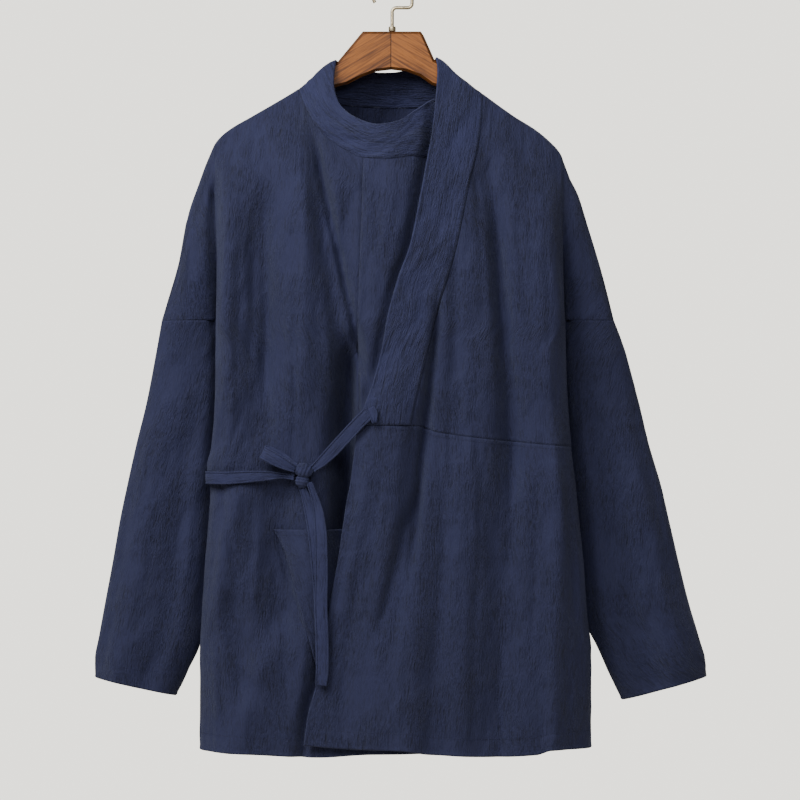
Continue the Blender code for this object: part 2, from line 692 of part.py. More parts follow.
def build_sleeve(name, sections, side):
    """A sleeve, a tube through its sections with soft folds, open at the cuff."""
    keyed = [(i / (len(sections) - 1), *section) for i, section in enumerate(sections)]
    rows = []
    for r in range(SLEEVE_ROWS + 1):
        share = r / SLEEVE_ROWS
        values = [read(keyed, share, value=1 + i) for i in range(len(Section._fields))]
        section = Section(*values)
        row = []
        for s in range(SLEEVE_SIDES):
            turn = 360 * s / SLEEVE_SIDES
            across = (1 - math.cos(math.radians(turn))) / 2
            lift = 1 + sleeve_rise(turn, share) / section.half_depth
            x = mix(section.outer_x, section.inner_x, across)
            down = mix(section.outer_down, section.inner_down, across)
            y = section.middle_y - section.half_depth * lift * math.sin(math.radians(turn))
            row.append((x, y, -down))
        rows.append(row if side == "right" else row[::-1])
    cloth(name, rows, CLOTH_WALL, CLOTH, closed=True)


def sleeve_rise(turn, share):
    total = 0.0
    for fold in SLEEVE_FOLDS:
        along = (share - fold.start) / (fold.end - fold.start)
        if 0 < along < 1:
            ends = smooth(min(along, 1 - along) / FOLD_END)
            total += fold.rise * ends * math.exp(-(((turn - fold.turn) / fold.width) ** 2))
    return total


def front_trees(sheets):
    return [BVHTree.FromPolygons(*sheet_faces(sheet)) for sheet in sheets]


def foremost(trees, x, down, around=0.0):
    """The front of the sheets near a point, as the smallest y that a ray from in front meets."""
    found = []
    for step_x in {-around, 0.0, around}:
        for step_down in {-around, 0.0, around}:
            for tree in trees:
                start = Vector((x + step_x, -FAR, -down - step_down))
                hit = tree.ray_cast(start, Vector((0, 1, 0)))[0]
                if hit is not None:
                    found.append(hit.y)
    return min(found)


def build_pocket(trees):
    """The patch pocket, cut with a slant, on the right front's own surface."""
    rows = []
    for i in range(POCKET_ROWS):
        down = mix(POCKET_TOP, POCKET_BOTTOM, i / (POCKET_ROWS - 1))
        start, end = straight(POCKET_SLANT, down), read(LAP_EDGE, down) + POCKET_TUCK
        row = []
        for c in range(POCKET_COLUMNS):
            x = mix(start, end, c / (POCKET_COLUMNS - 1))
            row.append((x, foremost(trees, x, down, POCKET_SPREAD) - POCKET_LIFT - CLOTH_WALL, -down))
        rows.append(row)
    cloth("pocket", rows, CLOTH_WALL, CLOTH)
    return rows


def tie_rows(stations, depths):
    """Rows across a tie, square to its run, with a slight crown."""
    rows = []
    for i, station in enumerate(stations):
        before, after = stations[max(i - 1, 0)], stations[min(i + 1, len(stations) - 1)]
        run = Vector((after.x - before.x, 0, before.down - after.down)).normalized()
        across = Vector((-run.z, 0, run.x))
        centre = Vector((station.x, depths[i], -station.down))
        rows.append([
            centre + across * station.width / 2 * side - Vector((0, TIE_CROWN * (1 - abs(side)), 0))
            for side in (-1, 0, 1)
        ])
    return rows


def resting_depths(stations, trees, lift):
    """The depth at each station of a taut tie: clear of the cloth, and straight over its hollows."""
    depths = [
        foremost(trees, station.x, station.down, station.width / 2 + TIE_MARGIN) - lift - TIE_WALL
        for station in stations
    ]
    for _ in range(30):
        for i in range(1, len(depths) - 1):
            depths[i] = min(depths[i], (depths[i - 1] + depths[i + 1]) / 2)
    return depths


def build_ties(trees):
    """The two ties, and the bow: its knot, its one loop and its two tails."""
    knot_y = foremost(trees, KNOT_X, KNOT_DOWN, KNOT_REACH) - TIE_LIFT - KNOT_HALF.y
    mesh = bpy.data.meshes.new("tie_knot")
    shape = bmesh.new()
    bmesh.ops.create_uvsphere(shape, u_segments=14, v_segments=8, radius=1)
    bmesh.ops.scale(shape, verts=shape.verts, vec=KNOT_HALF * MM)
    bmesh.ops.translate(shape, verts=shape.verts, vec=Vector((KNOT_X, knot_y, -KNOT_DOWN)) * MM)
    shape.to_mesh(mesh)
    shape.free()
    mesh.shade_smooth()
    place("tie_knot", mesh, BAND)

    side = resting_depths(SIDE_TIE, trees, TIE_LIFT)
    side[-1] = knot_y - TIE_WALL / 2
    rows = tie_rows(SIDE_TIE, side)
    edge_x = side_x("right", SIDE_TIE[0].down, 0)
    for inside, behind in SIDE_TIE_TURN:
        rows.insert(0, [Vector((edge_x + inside, side[0] + behind, point.z)) for point in rows[0]])
    cloth("tie_side", rows, TIE_WALL, BAND)

    front = resting_depths(FRONT_TIE, trees, TIE_LIFT)
    front[0] = knot_y - TIE_WALL / 2
    rows = tie_rows(FRONT_TIE, front)
    cloth("tie_front", rows, TIE_WALL, BAND)

    far = resting_depths(FAR_TAIL, trees, TIE_LIFT)
    far[0] = knot_y + FAR_TAIL_SINK
    cloth("tie_tail_far", tie_rows(FAR_TAIL, far), TIE_WALL, BAND)
    far_line = line_of([(station.down, y) for station, y in zip(FAR_TAIL, far)])
    near = []
    for station, depth in zip(NEAR_TAIL, resting_depths(NEAR_TAIL, trees, TIE_LIFT)):
        near.append(min(depth, far_line(station.down)) - TIE_WALL - TAIL_SPACING)
    near[0] = knot_y - TIE_WALL - NEAR_TAIL_RISE
    cloth("tie_tail_near", tie_rows(NEAR_TAIL, near), TIE_WALL, BAND)
    build_loop(knot_y)


def build_loop(knot_y):
    """The bow's loop: a tie folded back on itself, from the knot to its tip and back."""
    lean = Vector(LOOP_LEAN).normalized()
    rows = []
    for point in LOOP:
        centre = Vector((point.x, knot_y + point.y, -point.down))
        rows.append([centre + lean * point.width / 2 * side for side in (1, 0, -1)])
    cloth("tie_loop", rows, TIE_WALL, BAND)


def arm_edges(places):
    """The top and the low edge of an arm, which grows thinner outwards."""
    top = [(x, top_down(x) + HANGER_UNDER_CLOTH) for x in places]
    low = []
    for x, down in top:
        outwards = (abs(x) - HANGER_LEFT_ARM[0]) / (ARM_END - HANGER_LEFT_ARM[0] - 1)
        low.append((x, down + mix(ARM_ROOT_HEIGHT, ARM_TIP_HEIGHT, outwards)))
    return top, low


def hanger_outline():
    """The hanger from the front: its flat top, slanted shoulders, arms under the cloth, and arch."""
    left_top, left_low = arm_edges(HANGER_LEFT_ARM)
    right_top, right_low = arm_edges(HANGER_RIGHT_ARM)
    neck = (HANGER_NECK_X, top_down(HANGER_NECK_X + 1) + HANGER_UNDER_CLOTH)
    left = [*HANGER_PLATEAU, neck, *left_top, *reversed(left_low)]
    return left + [*HANGER_ARCH, *right_low, *reversed(right_top)]


def build_hanger():
    """The wooden hanger, a flat board with slanted edges."""
    mesh = bpy.data.meshes.new("hanger_body")
    shape = bmesh.new()
    back = HANGER_HALF_THICKNESS * MM
    face = shape.faces.new([shape.verts.new((x * MM, back, -down * MM)) for x, down in hanger_outline()])
    grown = bmesh.ops.extrude_face_region(shape, geom=[face])
    moved = [item for item in grown["geom"] if isinstance(item, bmesh.types.BMVert)]
    bmesh.ops.translate(shape, verts=moved, vec=(0, -2 * back, 0))
    bmesh.ops.recalc_face_normals(shape, faces=shape.faces)
    shape.to_mesh(mesh)
    shape.free()
    obj = place("hanger_body", mesh, WOOD)
    bevel = obj.modifiers.new("slanted edges", "BEVEL")
    bevel.width = HANGER_EDGE * MM
    bevel.segments = 1
    bevel.limit_method = "ANGLE"
    bevel.angle_limit = math.radians(60)


def hook_path():
    """The hook's wire: up from the wood, across to the right, up again and over in a round arc."""
    fillet = HOOK_FILLET
    jog = -HOOK_JOG_DOWN
    path = [(0, -PLATEAU_DOWN + SEAT_GAP), (0, jog - fillet)]
    for step in range(1, 4):
        turn = math.radians(180 - 30 * step)
        path.append((fillet + fillet * math.cos(turn), jog - fillet + fillet * math.sin(turn)))
    path.append((HOOK_RADIUS - fillet, jog))
    for step in range(1, 4):
        turn = math.radians(-90 + 30 * step)
        centre_x, centre_z = HOOK_RADIUS - fillet, jog + fillet
        path.append((centre_x + fillet * math.cos(turn), centre_z + fillet * math.sin(turn)))
    centre_z = WIRE_RADIUS - HOOK_RADIUS
    for step in range(21):
        turn = math.radians(HOOK_TURN_STEP * step)
        path.append((HOOK_RADIUS * math.cos(turn), centre_z + HOOK_RADIUS * math.sin(turn)))
    return path


def build_hook():
    """The wire hook, and the metal collar where it enters the wood."""
    curve = bpy.data.curves.new("hanger_hook", "CURVE")
    curve.dimensions = "3D"
    curve.bevel_depth = WIRE_RADIUS * MM
    curve.bevel_resolution = 2
    curve.use_fill_caps = True
    path = hook_path()
    spline = curve.splines.new("POLY")
    spline.points.add(len(path) - 1)
    for point, (x, z) in zip(spline.points, path):
        point.co = (x * MM, 0, z * MM, 1)
    place("hanger_hook", curve, METAL)

    mesh = bpy.data.meshes.new("hanger_ferrule")
    inner, outer = (WIRE_RADIUS + FERRULE_PLAY) * MM, FERRULE_RADIUS * MM
    low = (-PLATEAU_DOWN + SEAT_GAP) * MM
    high = low + FERRULE_HEIGHT * MM
    chamfer = FERRULE_EDGE * MM
    ring = [(inner, high), (outer - chamfer, high), (outer, high - chamfer), (outer, low), (inner, low)]
    edges = [(i, (i + 1) % len(ring)) for i in range(len(ring))]
    mesh.from_pydata([(x, 0, z) for x, z in ring], edges, [])
    obj = place("hanger_ferrule", mesh, METAL)
    screw = obj.modifiers.new("turned", "SCREW")
    screw.steps = 24
    screw.render_steps = 24
    screw.use_merge_vertices = True
    screw.merge_threshold = 0.00001
    screw.use_smooth_shade = False


def main():
    for obj in list(bpy.data.objects):
        bpy.data.objects.remove(obj, do_unlink=True)
    group = bpy.data.collections.new("kimono_jacket")
    bpy.context.scene.collection.children.link(group)
    main_rows, inner_panel = build_front_right()
    upper, lower = build_overlap()
    build_back()
    band = build_band()
    build_sleeve("sleeve_right", RIGHT_SLEEVE, "right")
    build_sleeve("sleeve_left", LEFT_SLEEVE, "left")
    pocket = build_pocket(front_trees([main_rows, inner_panel]))
    build_ties(front_trees([main_rows, inner_panel, upper, lower, band, pocket]))
    build_hanger()
    build_hook()


main()
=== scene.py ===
"""The looks of a plain navy wrap jacket of kimono cut, hanging on a wooden hanger.

Each cloth piece is a fine sheet over the same form as its solid, with the folds of that solid, listed
creases and a fine crinkle, made thick inwards. Tables and sizes are in millimetres with x to the
right, and "down" is the distance below the hook's crown. Properties are in metres.
"""

import math
from collections import namedtuple

import bpy
import numpy as np
from bpy.props import FloatProperty, FloatVectorProperty, PointerProperty
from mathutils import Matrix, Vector
from mathutils.bvhtree import BVHTree


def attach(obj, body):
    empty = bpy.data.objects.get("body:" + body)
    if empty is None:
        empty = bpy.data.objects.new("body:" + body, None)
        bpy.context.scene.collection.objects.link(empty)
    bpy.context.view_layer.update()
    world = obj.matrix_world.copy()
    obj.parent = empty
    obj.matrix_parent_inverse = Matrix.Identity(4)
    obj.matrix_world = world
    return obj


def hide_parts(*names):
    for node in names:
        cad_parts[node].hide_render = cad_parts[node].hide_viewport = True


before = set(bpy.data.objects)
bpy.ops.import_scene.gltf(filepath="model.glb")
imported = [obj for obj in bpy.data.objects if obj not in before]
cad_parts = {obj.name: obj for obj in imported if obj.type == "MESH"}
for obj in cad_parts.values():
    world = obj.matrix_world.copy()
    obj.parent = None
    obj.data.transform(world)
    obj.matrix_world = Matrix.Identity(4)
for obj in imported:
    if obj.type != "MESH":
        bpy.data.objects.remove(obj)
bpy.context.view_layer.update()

bl_info = {
    "name": "Wrap Jacket on a Hanger",
    "version": (1, 0, 0),
    "blender": (4, 5, 0),
    "location": "View3D > Sidebar > Jacket",
    "description": "Dresses the jacket's solids with cloth, sewing, wood and metal",
    "category": "Object",
}

MM = 0.001

SEAM_GAP = 0.06
LAYER_GAP = 9.0
LAP_SHADOW = 8.0
BARE_SLOPE = 0.8
BARE_REACH = 60.0
TUCK_DEPTH = 9.0
TUCK_WIDTH = 6.0
TUCK_START = 130.0
TUCK_EASE = 60.0
OVERLAP_LIFT = 6.0
LIFT_END_X = 185.0
LIFT_FADE = 75.0
LIFT_START = 6.0
LIFT_EASE = 30.0
FOLDS_START = 8.0
FOLDS_EASE = 40.0
ARMPIT_DOWN = 400.0
WAIST_DOWN = 521.0
HEM_DOWN = 900.0
SIDE_SEAM_Y = 4.0
SIDE_SEAM_GAP = 0.02
FOLD_GAP = 0.01
CAP_FRONT = 17.0
CAP_BACK = 15.0
SIDE_INSET = 3.5
SIDE_EASE = 35.0
NECK_BULGE = 13.0
NECK_HALF_WIDTH = 62.0
NECK_BULGE_EASE = 18.0
BAND_WIDTH = 54.0
BAND_RELIEF = 0.9
BAND_RELIEF_EASE = 25.0
BAND_STITCHES = (2.5, 8.0)
FAR_OFF = 99.0

# The folded top edge of the body and its drop shoulders. Lean turns a drop below it into the
# distance from it, square to it.
Top = namedtuple("Top", "x down lean")
TOP_LINE = (
    Top(-267, 402, 0.30), Top(-247, 334, 0.30), Top(-236, 278, 0.30), Top(-224, 243, 0.36),
    Top(-212, 211, 0.50), Top(-203, 193, 0.70), Top(-189, 180, 0.84), Top(-162, 164, 0.86),
    Top(-136, 149, 0.86), Top(-108, 132, 0.84), Top(-64, 99, 0.84), Top(50, 96, 0.84),
    Top(77, 117, 0.84), Top(105, 138, 0.84), Top(141, 164, 0.84), Top(165, 179, 0.84),
    Top(182, 193, 0.80), Top(195, 208, 0.60), Top(202, 229, 0.42), Top(215, 255, 0.36),
    Top(225, 287, 0.30), Top(241, 340, 0.30), Top(257, 402, 0.30),
)

# How far the sheet stands out from the middle plane, by its distance from the folded top edge.
Depth = namedtuple("Depth", "inward front back")
DEPTHS = (
    Depth(0, 0.4, 0.4), Depth(0.4, 3.6, 3.6), Depth(2, 7.2, 7.2), Depth(5, 9.6, 9.6),
    Depth(12, 13, 12.5), Depth(25, 20, 18), Depth(50, 32, 28), Depth(80, 43, 36),
    Depth(120, 52, 42), Depth(200, 60, 47), Depth(330, 65, 50), Depth(450, 70, 54),
    Depth(660, 80, 60),
)

# The body's side edges from the front, by the distance down.
Edge = namedtuple("Edge", "down right_side left_side")
SIDE_EDGES = (
    Edge(400, -203, 199), Edge(470, -203, 201), Edge(545, -208, 206), Edge(568, -213, 208),
    Edge(590, -209, 211), Edge(680, -215, 220), Edge(747, -219, 225), Edge(777, -221, 229),
    Edge(900, -221, 229),
)

# The overlap's free edge: the collar band's inner edge, then the lap below the waist.
Lap = namedtuple("Lap", "down x")
LAP_EDGE = (
    Lap(96, 50), Lap(109, 52), Lap(143, 50), Lap(181, 46), Lap(219, 39), Lap(262, 31),
    Lap(315, 20), Lap(351, 7), Lap(399, -6), Lap(434, -12), Lap(475, -23), Lap(497, -31),
    Lap(521, -39), Lap(586, -48), Lap(607, -52), Lap(674, -62), Lap(718, -70), Lap(813, -86),
    Lap(851, -96), Lap(900, -103),
)
# The seam of the band on the overlap, and how far above it the matching edge point lies.
BandSeam = namedtuple("BandSeam", "down x rise")
OVERLAP_SEAM = (
    BandSeam(138, 105, 42), BandSeam(177, 102, 27), BandSeam(198, 99, 23), BandSeam(246, 88, 21),
    BandSeam(319, 73, 19), BandSeam(391, 52, 15), BandSeam(434, 41, 12), BandSeam(492, 27, 6),
    BandSeam(521, 21, 0.5),
)
# The band over the left shoulder, round the back of the neck and over the right shoulder, and then
# from that shoulder on along the inner front.
BandStation = namedtuple("BandStation", "seam_x seam_down edge_x edge_down")
NECK_STATIONS = (
    BandStation(105, 138.05, 50, 96.05), BandStation(104.5, 138.5, 49.8, 96.5),
    BandStation(103, 139.8, 49.3, 97.3), BandStation(99, 142.6, 47.5, 99.3),
    BandStation(91, 146, 44, 102), BandStation(74, 149, 36, 105.8),
    BandStation(50, 151, 24, 107.6), BandStation(25, 152, 12, 109.8), BandStation(0, 152, 0, 111.4),
    BandStation(-25, 151.5, -15, 111.6), BandStation(-50, 150, -31, 109.3),
    BandStation(-75, 147.5, -46, 106.4), BandStation(-94, 143, -56, 103.4),
    BandStation(-103, 138, -61, 101), BandStation(-107, 133.8, -63.3, 99.6),
    BandStation(-108, 132.05, -64, 99.05),
)
INNER_STATIONS = (
    BandStation(-108, 132.05, -64, 99.05), BandStation(-107.6, 134.2, -64.5, 100.2),
    BandStation(-106.5, 137.5, -65, 103), BandStation(-104, 143, -66, 110),
    BandStation(-98, 158, -67, 126), BandStation(-83, 182, -62, 148),
    BandStation(-55, 204, -42, 167), BandStation(-33, 214, -16, 175.5),
    BandStation(-6, 216, 6, 172), BandStation(20, 212.5, 28, 158), BandStation(46, 216, 50, 145),
    BandStation(58, 236, 70, 154), BandStation(65, 264, 90, 190), BandStation(71, 300, 108, 245),
    BandStation(78, 355, 122, 315), BandStation(86, 430, 133, 405), BandStation(92, 520, 138, 518),
)

# Lines across or down the fronts, by x or by the distance down.
Line = namedtuple("Line", "place value")
INNER_PANEL_SEAM = (Line(214, -33), Line(294, -39), Line(400, -40), Line(560, -36), Line(900, -28))
INNER_FREE_EDGE = (Line(216, 46), Line(264, 65), Line(355, 78), Line(430, 86), Line(520, 92),
                   Line(900, 108))
WAIST_SEAM = (Line(-39, 520), Line(29, 522), Line(53, 529), Line(206, 546), Line(230, 548))
RIGHT_HEM = (Line(-221, 893), Line(-153, 897), Line(-83, 900), Line(-20, 896), Line(110, 894))
LEFT_HEM = (Line(-101, 886), Line(-45, 890), Line(9, 891), Line(44, 896), Line(121, 899),
            Line(165, 897), Line(182, 892), Line(229, 891))
BACK_HEM = (Line(-213, 893), Line(-60, 899), Line(60, 899), Line(221, 891))

# How each side turns from the side seam to the front or back.
Turn = namedtuple("Turn", "inset share")
FRONT_TURN = (Turn(10, 0), Turn(1.5, 0.28), Turn(0, 0.58), Turn(5, 0.84), Turn(17, 0.97))
BACK_TURN = (Turn(10, 0), Turn(8, 0.3), Turn(9, 0.6), Turn(14, 0.85), Turn(26, 0.97))

# Folds and creases, each a line from its top to its low end. Rise is positive outwards and negative
# inwards, and bow is how far the line swings sideways at its middle.
Fold = namedtuple("Fold", "top_x top_down low_x low_down width rise bow", defaults=(0,))
FOLD_END = 0.22
OVERLAP_FOLDS = (
    Fold(103, 165, 144, 530, 15, -9), Fold(140, 430, 118, 960, 22, -12),
    Fold(70, 300, 76, 560, 8, -5), Fold(38, 470, -4, 800, 14, -9),
    Fold(82, 520, 78, 960, 18, 8), Fold(190, 500, 192, 960, 14, 8),
    Fold(170, 230, 182, 520, 16, 6), Fold(-24, 540, -60, 760, 9, 5), Fold(28, 700, 20, 960, 16, 6),
)
RIGHT_FOLDS = (
    Fold(-150, 215, -150, 600, 20, -13), Fold(-128, 560, -130, 780, 20, -15),
    Fold(-188, 220, -190, 540, 13, 7), Fold(-100, 190, -101, 520, 13, 8),
    Fold(-97, 170, -52, 470, 13, -14), Fold(-52, 400, -58, 730, 17, -32),
    Fold(-170, 570, -213, 770, 14, 9), Fold(-142, 760, -198, 960, 16, 9),
    Fold(-190, 700, -160, 850, 15, -8), Fold(-90, 600, -100, 960, 15, 6),
    Fold(-64, 230, -66, 330, 10, 5),
)
BACK_FOLDS = (
    Fold(-120, 200, -96, 620, 22, -9), Fold(118, 210, 96, 640, 22, -10),
    Fold(-30, 190, -40, 520, 24, 6), Fold(42, 200, 36, 560, 24, 6),
    Fold(-150, 520, -168, 960, 22, 8), Fold(-60, 560, -72, 960, 26, -10),
    Fold(20, 600, 12, 960, 28, 9), Fold(92, 560, 110, 960, 24, -9), Fold(170, 480, 176, 960, 20, 7),
)
OVERLAP_CREASES = (
    Fold(57, 345, 18, 715, 5.5, -13, 0), Fold(30, 590, -19, 775, 7, -7, -3),
    Fold(117, 240, 130, 610, 10, -6, 2), Fold(150, 450, 134, 700, 8, -4, -2),
    Fold(112, 230, 141, 620, 8, -7, 4), Fold(92, 200, 104, 420, 5, -2.2, 2),
    Fold(66, 430, 70, 620, 4, -2, -2),
    Fold(84, 470, 96, 690, 5, 1.8, 2), Fold(58, 560, 48, 830, 6, -2.4, 3),
    Fold(166, 560, 158, 800, 5, -2.2, 2), Fold(200, 560, 208, 760, 5, -2.5, 0),
    Fold(100, 640, 92, 900, 6, -2.2, -3), Fold(-10, 560, -34, 720, 4, -2, 2),
    Fold(-34, 640, -62, 860, 5, -2.2, 2), Fold(142, 260, 160, 430, 5, -2, -2),
    Fold(174, 300, 180, 470, 4, -1.8, 2), Fold(124, 740, 120, 940, 6, -3, 2),
    Fold(14, 720, 6, 880, 5, 1.8, -2), Fold(178, 700, 184, 940, 6, 2, 2),
)
RIGHT_CREASES = (
    Fold(-206, 212, -205, 440, 5.5, -20, 0), Fold(-94, 172, -18, 525, 5, -17, 0),
    Fold(-46, 400, -58, 700, 10, -24, 0), Fold(-148, 225, -146, 500, 9, -7, 2),
    Fold(-160, 250, -163, 470, 5, -3, 2),
    Fold(-140, 330, -142, 560, 6, -3.5, -2), Fold(-122, 240, -118, 500, 5, 2.2, 2),
    Fold(-174, 300, -178, 520, 5, -2.2, -2), Fold(-112, 430, -116, 600, 4, -2, 2),
    Fold(-82, 330, -66, 520, 5, 2, 0), Fold(-20, 230, -14, 420, 4, -1.8, 2),
    Fold(4, 240, -24, 380, 4, 2, 0), Fold(-52, 240, -58, 400, 4, -1.6, 1),
    Fold(-196, 560, -176, 700, 5, -3, -3), Fold(-150, 600, -168, 800, 5, 2.4, 3),
    Fold(-118, 640, -122, 860, 5, -2.2, -2), Fold(-206, 730, -190, 880, 5, -2.6, 2),
    Fold(-172, 800, -184, 940, 5, -2.2, 2), Fold(-78, 640, -84, 860, 5, -2, -2),
    Fold(-182, 450, -205, 560, 4, -2.4, 3), Fold(-168, 490, -196, 572, 3.5, -2.2, 2),
    Fold(-140, 200, -134, 330, 5, -2, 2), Fold(-138, 632, -98, 770, 3, -4.5, 0),
)
BACK_CREASES = (
    Fold(-206, 214, -205, 440, 4.5, -11, 0), Fold(203, 224, 201, 440, 4.5, -11, 0),
    Fold(-128, 230, -104, 480, 6, -4, 3), Fold(124, 240, 104, 500, 6, -4, -3),
    Fold(-70, 200, -62, 420, 6, -2.2, 2), Fold(78, 210, 66, 450, 6, -2.4, -2),
    Fold(0, 220, -6, 480, 7, -2, 3), Fold(-24, 430, -30, 690, 6, 2, -3),
    Fold(40, 470, 52, 760, 6, -2.6, 3), Fold(-118, 480, -130, 720, 6, -2.4, 3),
    Fold(-90, 600, -96, 900, 7, -3, -3), Fold(-180, 460, -190, 660, 5, -2.6, -2),
    Fold(150, 440, 158, 690, 5, -2.8, 2), Fold(120, 600, 132, 880, 6, 2.2, -3),
    Fold(-40, 700, -46, 930, 6, 2.4, 2), Fold(86, 690, 84, 930, 6, -2.6, 2),
    Fold(196, 560, 204, 800, 5, -2.6, 0), Fold(-202, 600, -206, 820, 5, -2.4, 0),
)

# Cross sections of the sleeves, between the outer and the inner point.
Section = namedtuple("Section", "outer_x outer_down inner_x inner_down half_depth middle_y")
RIGHT_SLEEVE = (
    Section(-266.4, 400.15, -202.6, 400.15, 16, -1), Section(-272, 430, -198.5, 430, 19, 5),
    Section(-284, 492, -196.5, 492, 22, 10), Section(-297, 545, -201, 545, 25, 12),
    Section(-307, 590, -204, 590, 27, 12), Section(-315, 628, -206, 630, 28, 12),
    Section(-324, 680, -209, 684, 29, 11), Section(-333, 728, -215, 735, 30, 11),
    Section(-339.5, 764, -222.5, 775, 30, 10), Section(-344.5, 792, -237, 806, 29, 10),
    Section(-344, 813, -250, 834, 28, 10),
)
LEFT_SLEEVE = (
    Section(256.4, 400.15, 198.4, 400.15, 16, -1), Section(268, 430, 194.5, 430, 19, 5),
    Section(285, 492, 195.5, 492, 22, 10), Section(298, 545, 200, 545, 25, 12),
    Section(311, 589, 205, 590, 27, 12), Section(322, 636, 210, 640, 28, 12),
    Section(333, 684, 214, 690, 29, 11), Section(344, 728, 221, 742, 30, 11),
    Section(355, 765, 236, 775, 30, 10), Section(363, 795, 250, 806, 29, 10),
    Section(364, 812, 266, 839, 28, 10),
)
# Folds and creases along a sleeve, by the turn round it in degrees, 0 at the outer point and 90 at
# the front. Drift is how far round the line moves from its start to its end.
SleeveFold = namedtuple("SleeveFold", "turn width rise start end drift", defaults=(0,))
SLEEVE_FOLDS = (
    SleeveFold(62, 20, 5, 0.25, 1.1), SleeveFold(105, 16, -7, 0.1, 1.1),
    SleeveFold(215, 22, -6, 0.15, 1.1), SleeveFold(290, 20, 5, 0.3, 1.1),
)
RIGHT_SLEEVE_CREASES = (
    SleeveFold(150, 13, -11, -0.2, 0.85, 4), SleeveFold(44, 7, 2.6, 0.12, 1.1, 6),
    SleeveFold(82, 8, -2.4, 0.2, 0.8, -8), SleeveFold(118, 7, 2.2, 0.3, 0.95, 6),
    SleeveFold(30, 7, -2, 0.35, 0.9, 8), SleeveFold(66, 6, 1.8, 0.55, 1.1, -6),
    SleeveFold(190, 8, -2.6, 0.1, 0.7, 10), SleeveFold(236, 8, 2.4, 0.3, 1.1, -8),
    SleeveFold(262, 7, -2.6, 0.05, 0.6, 8), SleeveFold(312, 7, -2.2, 0.4, 1.1, 6),
    SleeveFold(336, 6, 1.6, 0.15, 0.7, -4),
)
LEFT_SLEEVE_CREASES = (
    SleeveFold(150, 13, -11, -0.2, 0.9, 4), SleeveFold(56, 8, 2.2, 0.2, 1.1, -8),
    SleeveFold(88, 8, -2.6, 0.3, 1.1, 8), SleeveFold(122, 7, 2, 0.15, 0.7, -6),
    SleeveFold(32, 7, -1.8, 0.1, 0.6, 6), SleeveFold(72, 6, 1.6, 0.6, 1.1, 6),
    SleeveFold(196, 8, -2.4, 0.2, 0.9, -8), SleeveFold(240, 8, 2.2, 0.1, 0.8, 8),
    SleeveFold(275, 7, -2.6, 0.3, 1.1, 6), SleeveFold(320, 7, -2, 0.1, 0.7, -6),
)

OVERLAP_TOPS = (105.5, 112, 120, 129, 139, 149, 159, 170, 178)
RIGHT_TOPS = (-178, -164, -150, -136, -122, -108.4)
# Places along the neck's stations that the columns below the neck start from, evenly spread lower.
RIGHT_NECK_PLACES = (0, 2, 3, 4, 5, 5.5, 6, 7)
INNER_NECK_PLACES = (7, 7.5, 8, 8.5, 9, 9.5, 10)
BACK_TOPS_LEFT = (178, 160, 141, 123, 105.4)
BACK_NECK_PLACES = (0, 2, 3, 4, 5, 6, 7, 8, 9, 10, 11, 12, 13, 14, 15)
BACK_TOPS_RIGHT = (-108.4, -125, -143, -161, -178)
SIDE_TOPS = {"right": (-208, -203.5, -199, -191, -178), "left": (198, 195, 191, 186, 178)}
CAP_TOPS = {"right": (-263, -257, -248, -237, -226, -216), "left": (253, 247, 238, 227, 217, 206)}
CAP_TURNS = (0, 30, 60, 90, 120, 150)
SLEEVE_TOPS = {"right": (-266.4, -202.6), "left": (256.4, 198.4)}

POCKET_TOP = 640.0
POCKET_BOTTOM = 805.0
POCKET_LENGTH = POCKET_BOTTOM - POCKET_TOP
POCKET_HEM = 14.0
POCKET_STITCH = 3.0
POCKET_SLANT = (Line(640, -135), Line(666, -123), Line(761, -96), Line(805, -84))
POCKET_TUCK = 9.0
POCKET_LIFT = 1.5
POCKET_SPREAD = 6.0
CLOTH_WALL = 1.5
TIE_WALL = 1.8
# Thicknesses of the doubled band, the ties' tape and the knot, in metres.
BAND_WALL, TAPE_WALL, KNOT_WALL = 0.0018, 0.0014, 0.0012

KNOT_X = -101.5
KNOT_DOWN = 578.0
KNOT_HALF = (9.8, 7.0, 13.8)
TieStation = namedtuple("TieStation", "x down width")
SIDE_TIE = (
    TieStation(-202, 581, 14.5), TieStation(-189, 581, 14.5), TieStation(-170, 580, 14),
    TieStation(-152, 579, 12.5), TieStation(-138, 578.5, 10), TieStation(-126, 578.5, 6.5),
    TieStation(-112, 579.5, 8),
)
FRONT_TIE = (
    TieStation(-91, 571, 8), TieStation(-80, 562, 12), TieStation(-68, 550, 14.5),
    TieStation(-54, 535, 15), TieStation(-40, 520, 15), TieStation(-27, 507, 15),
)
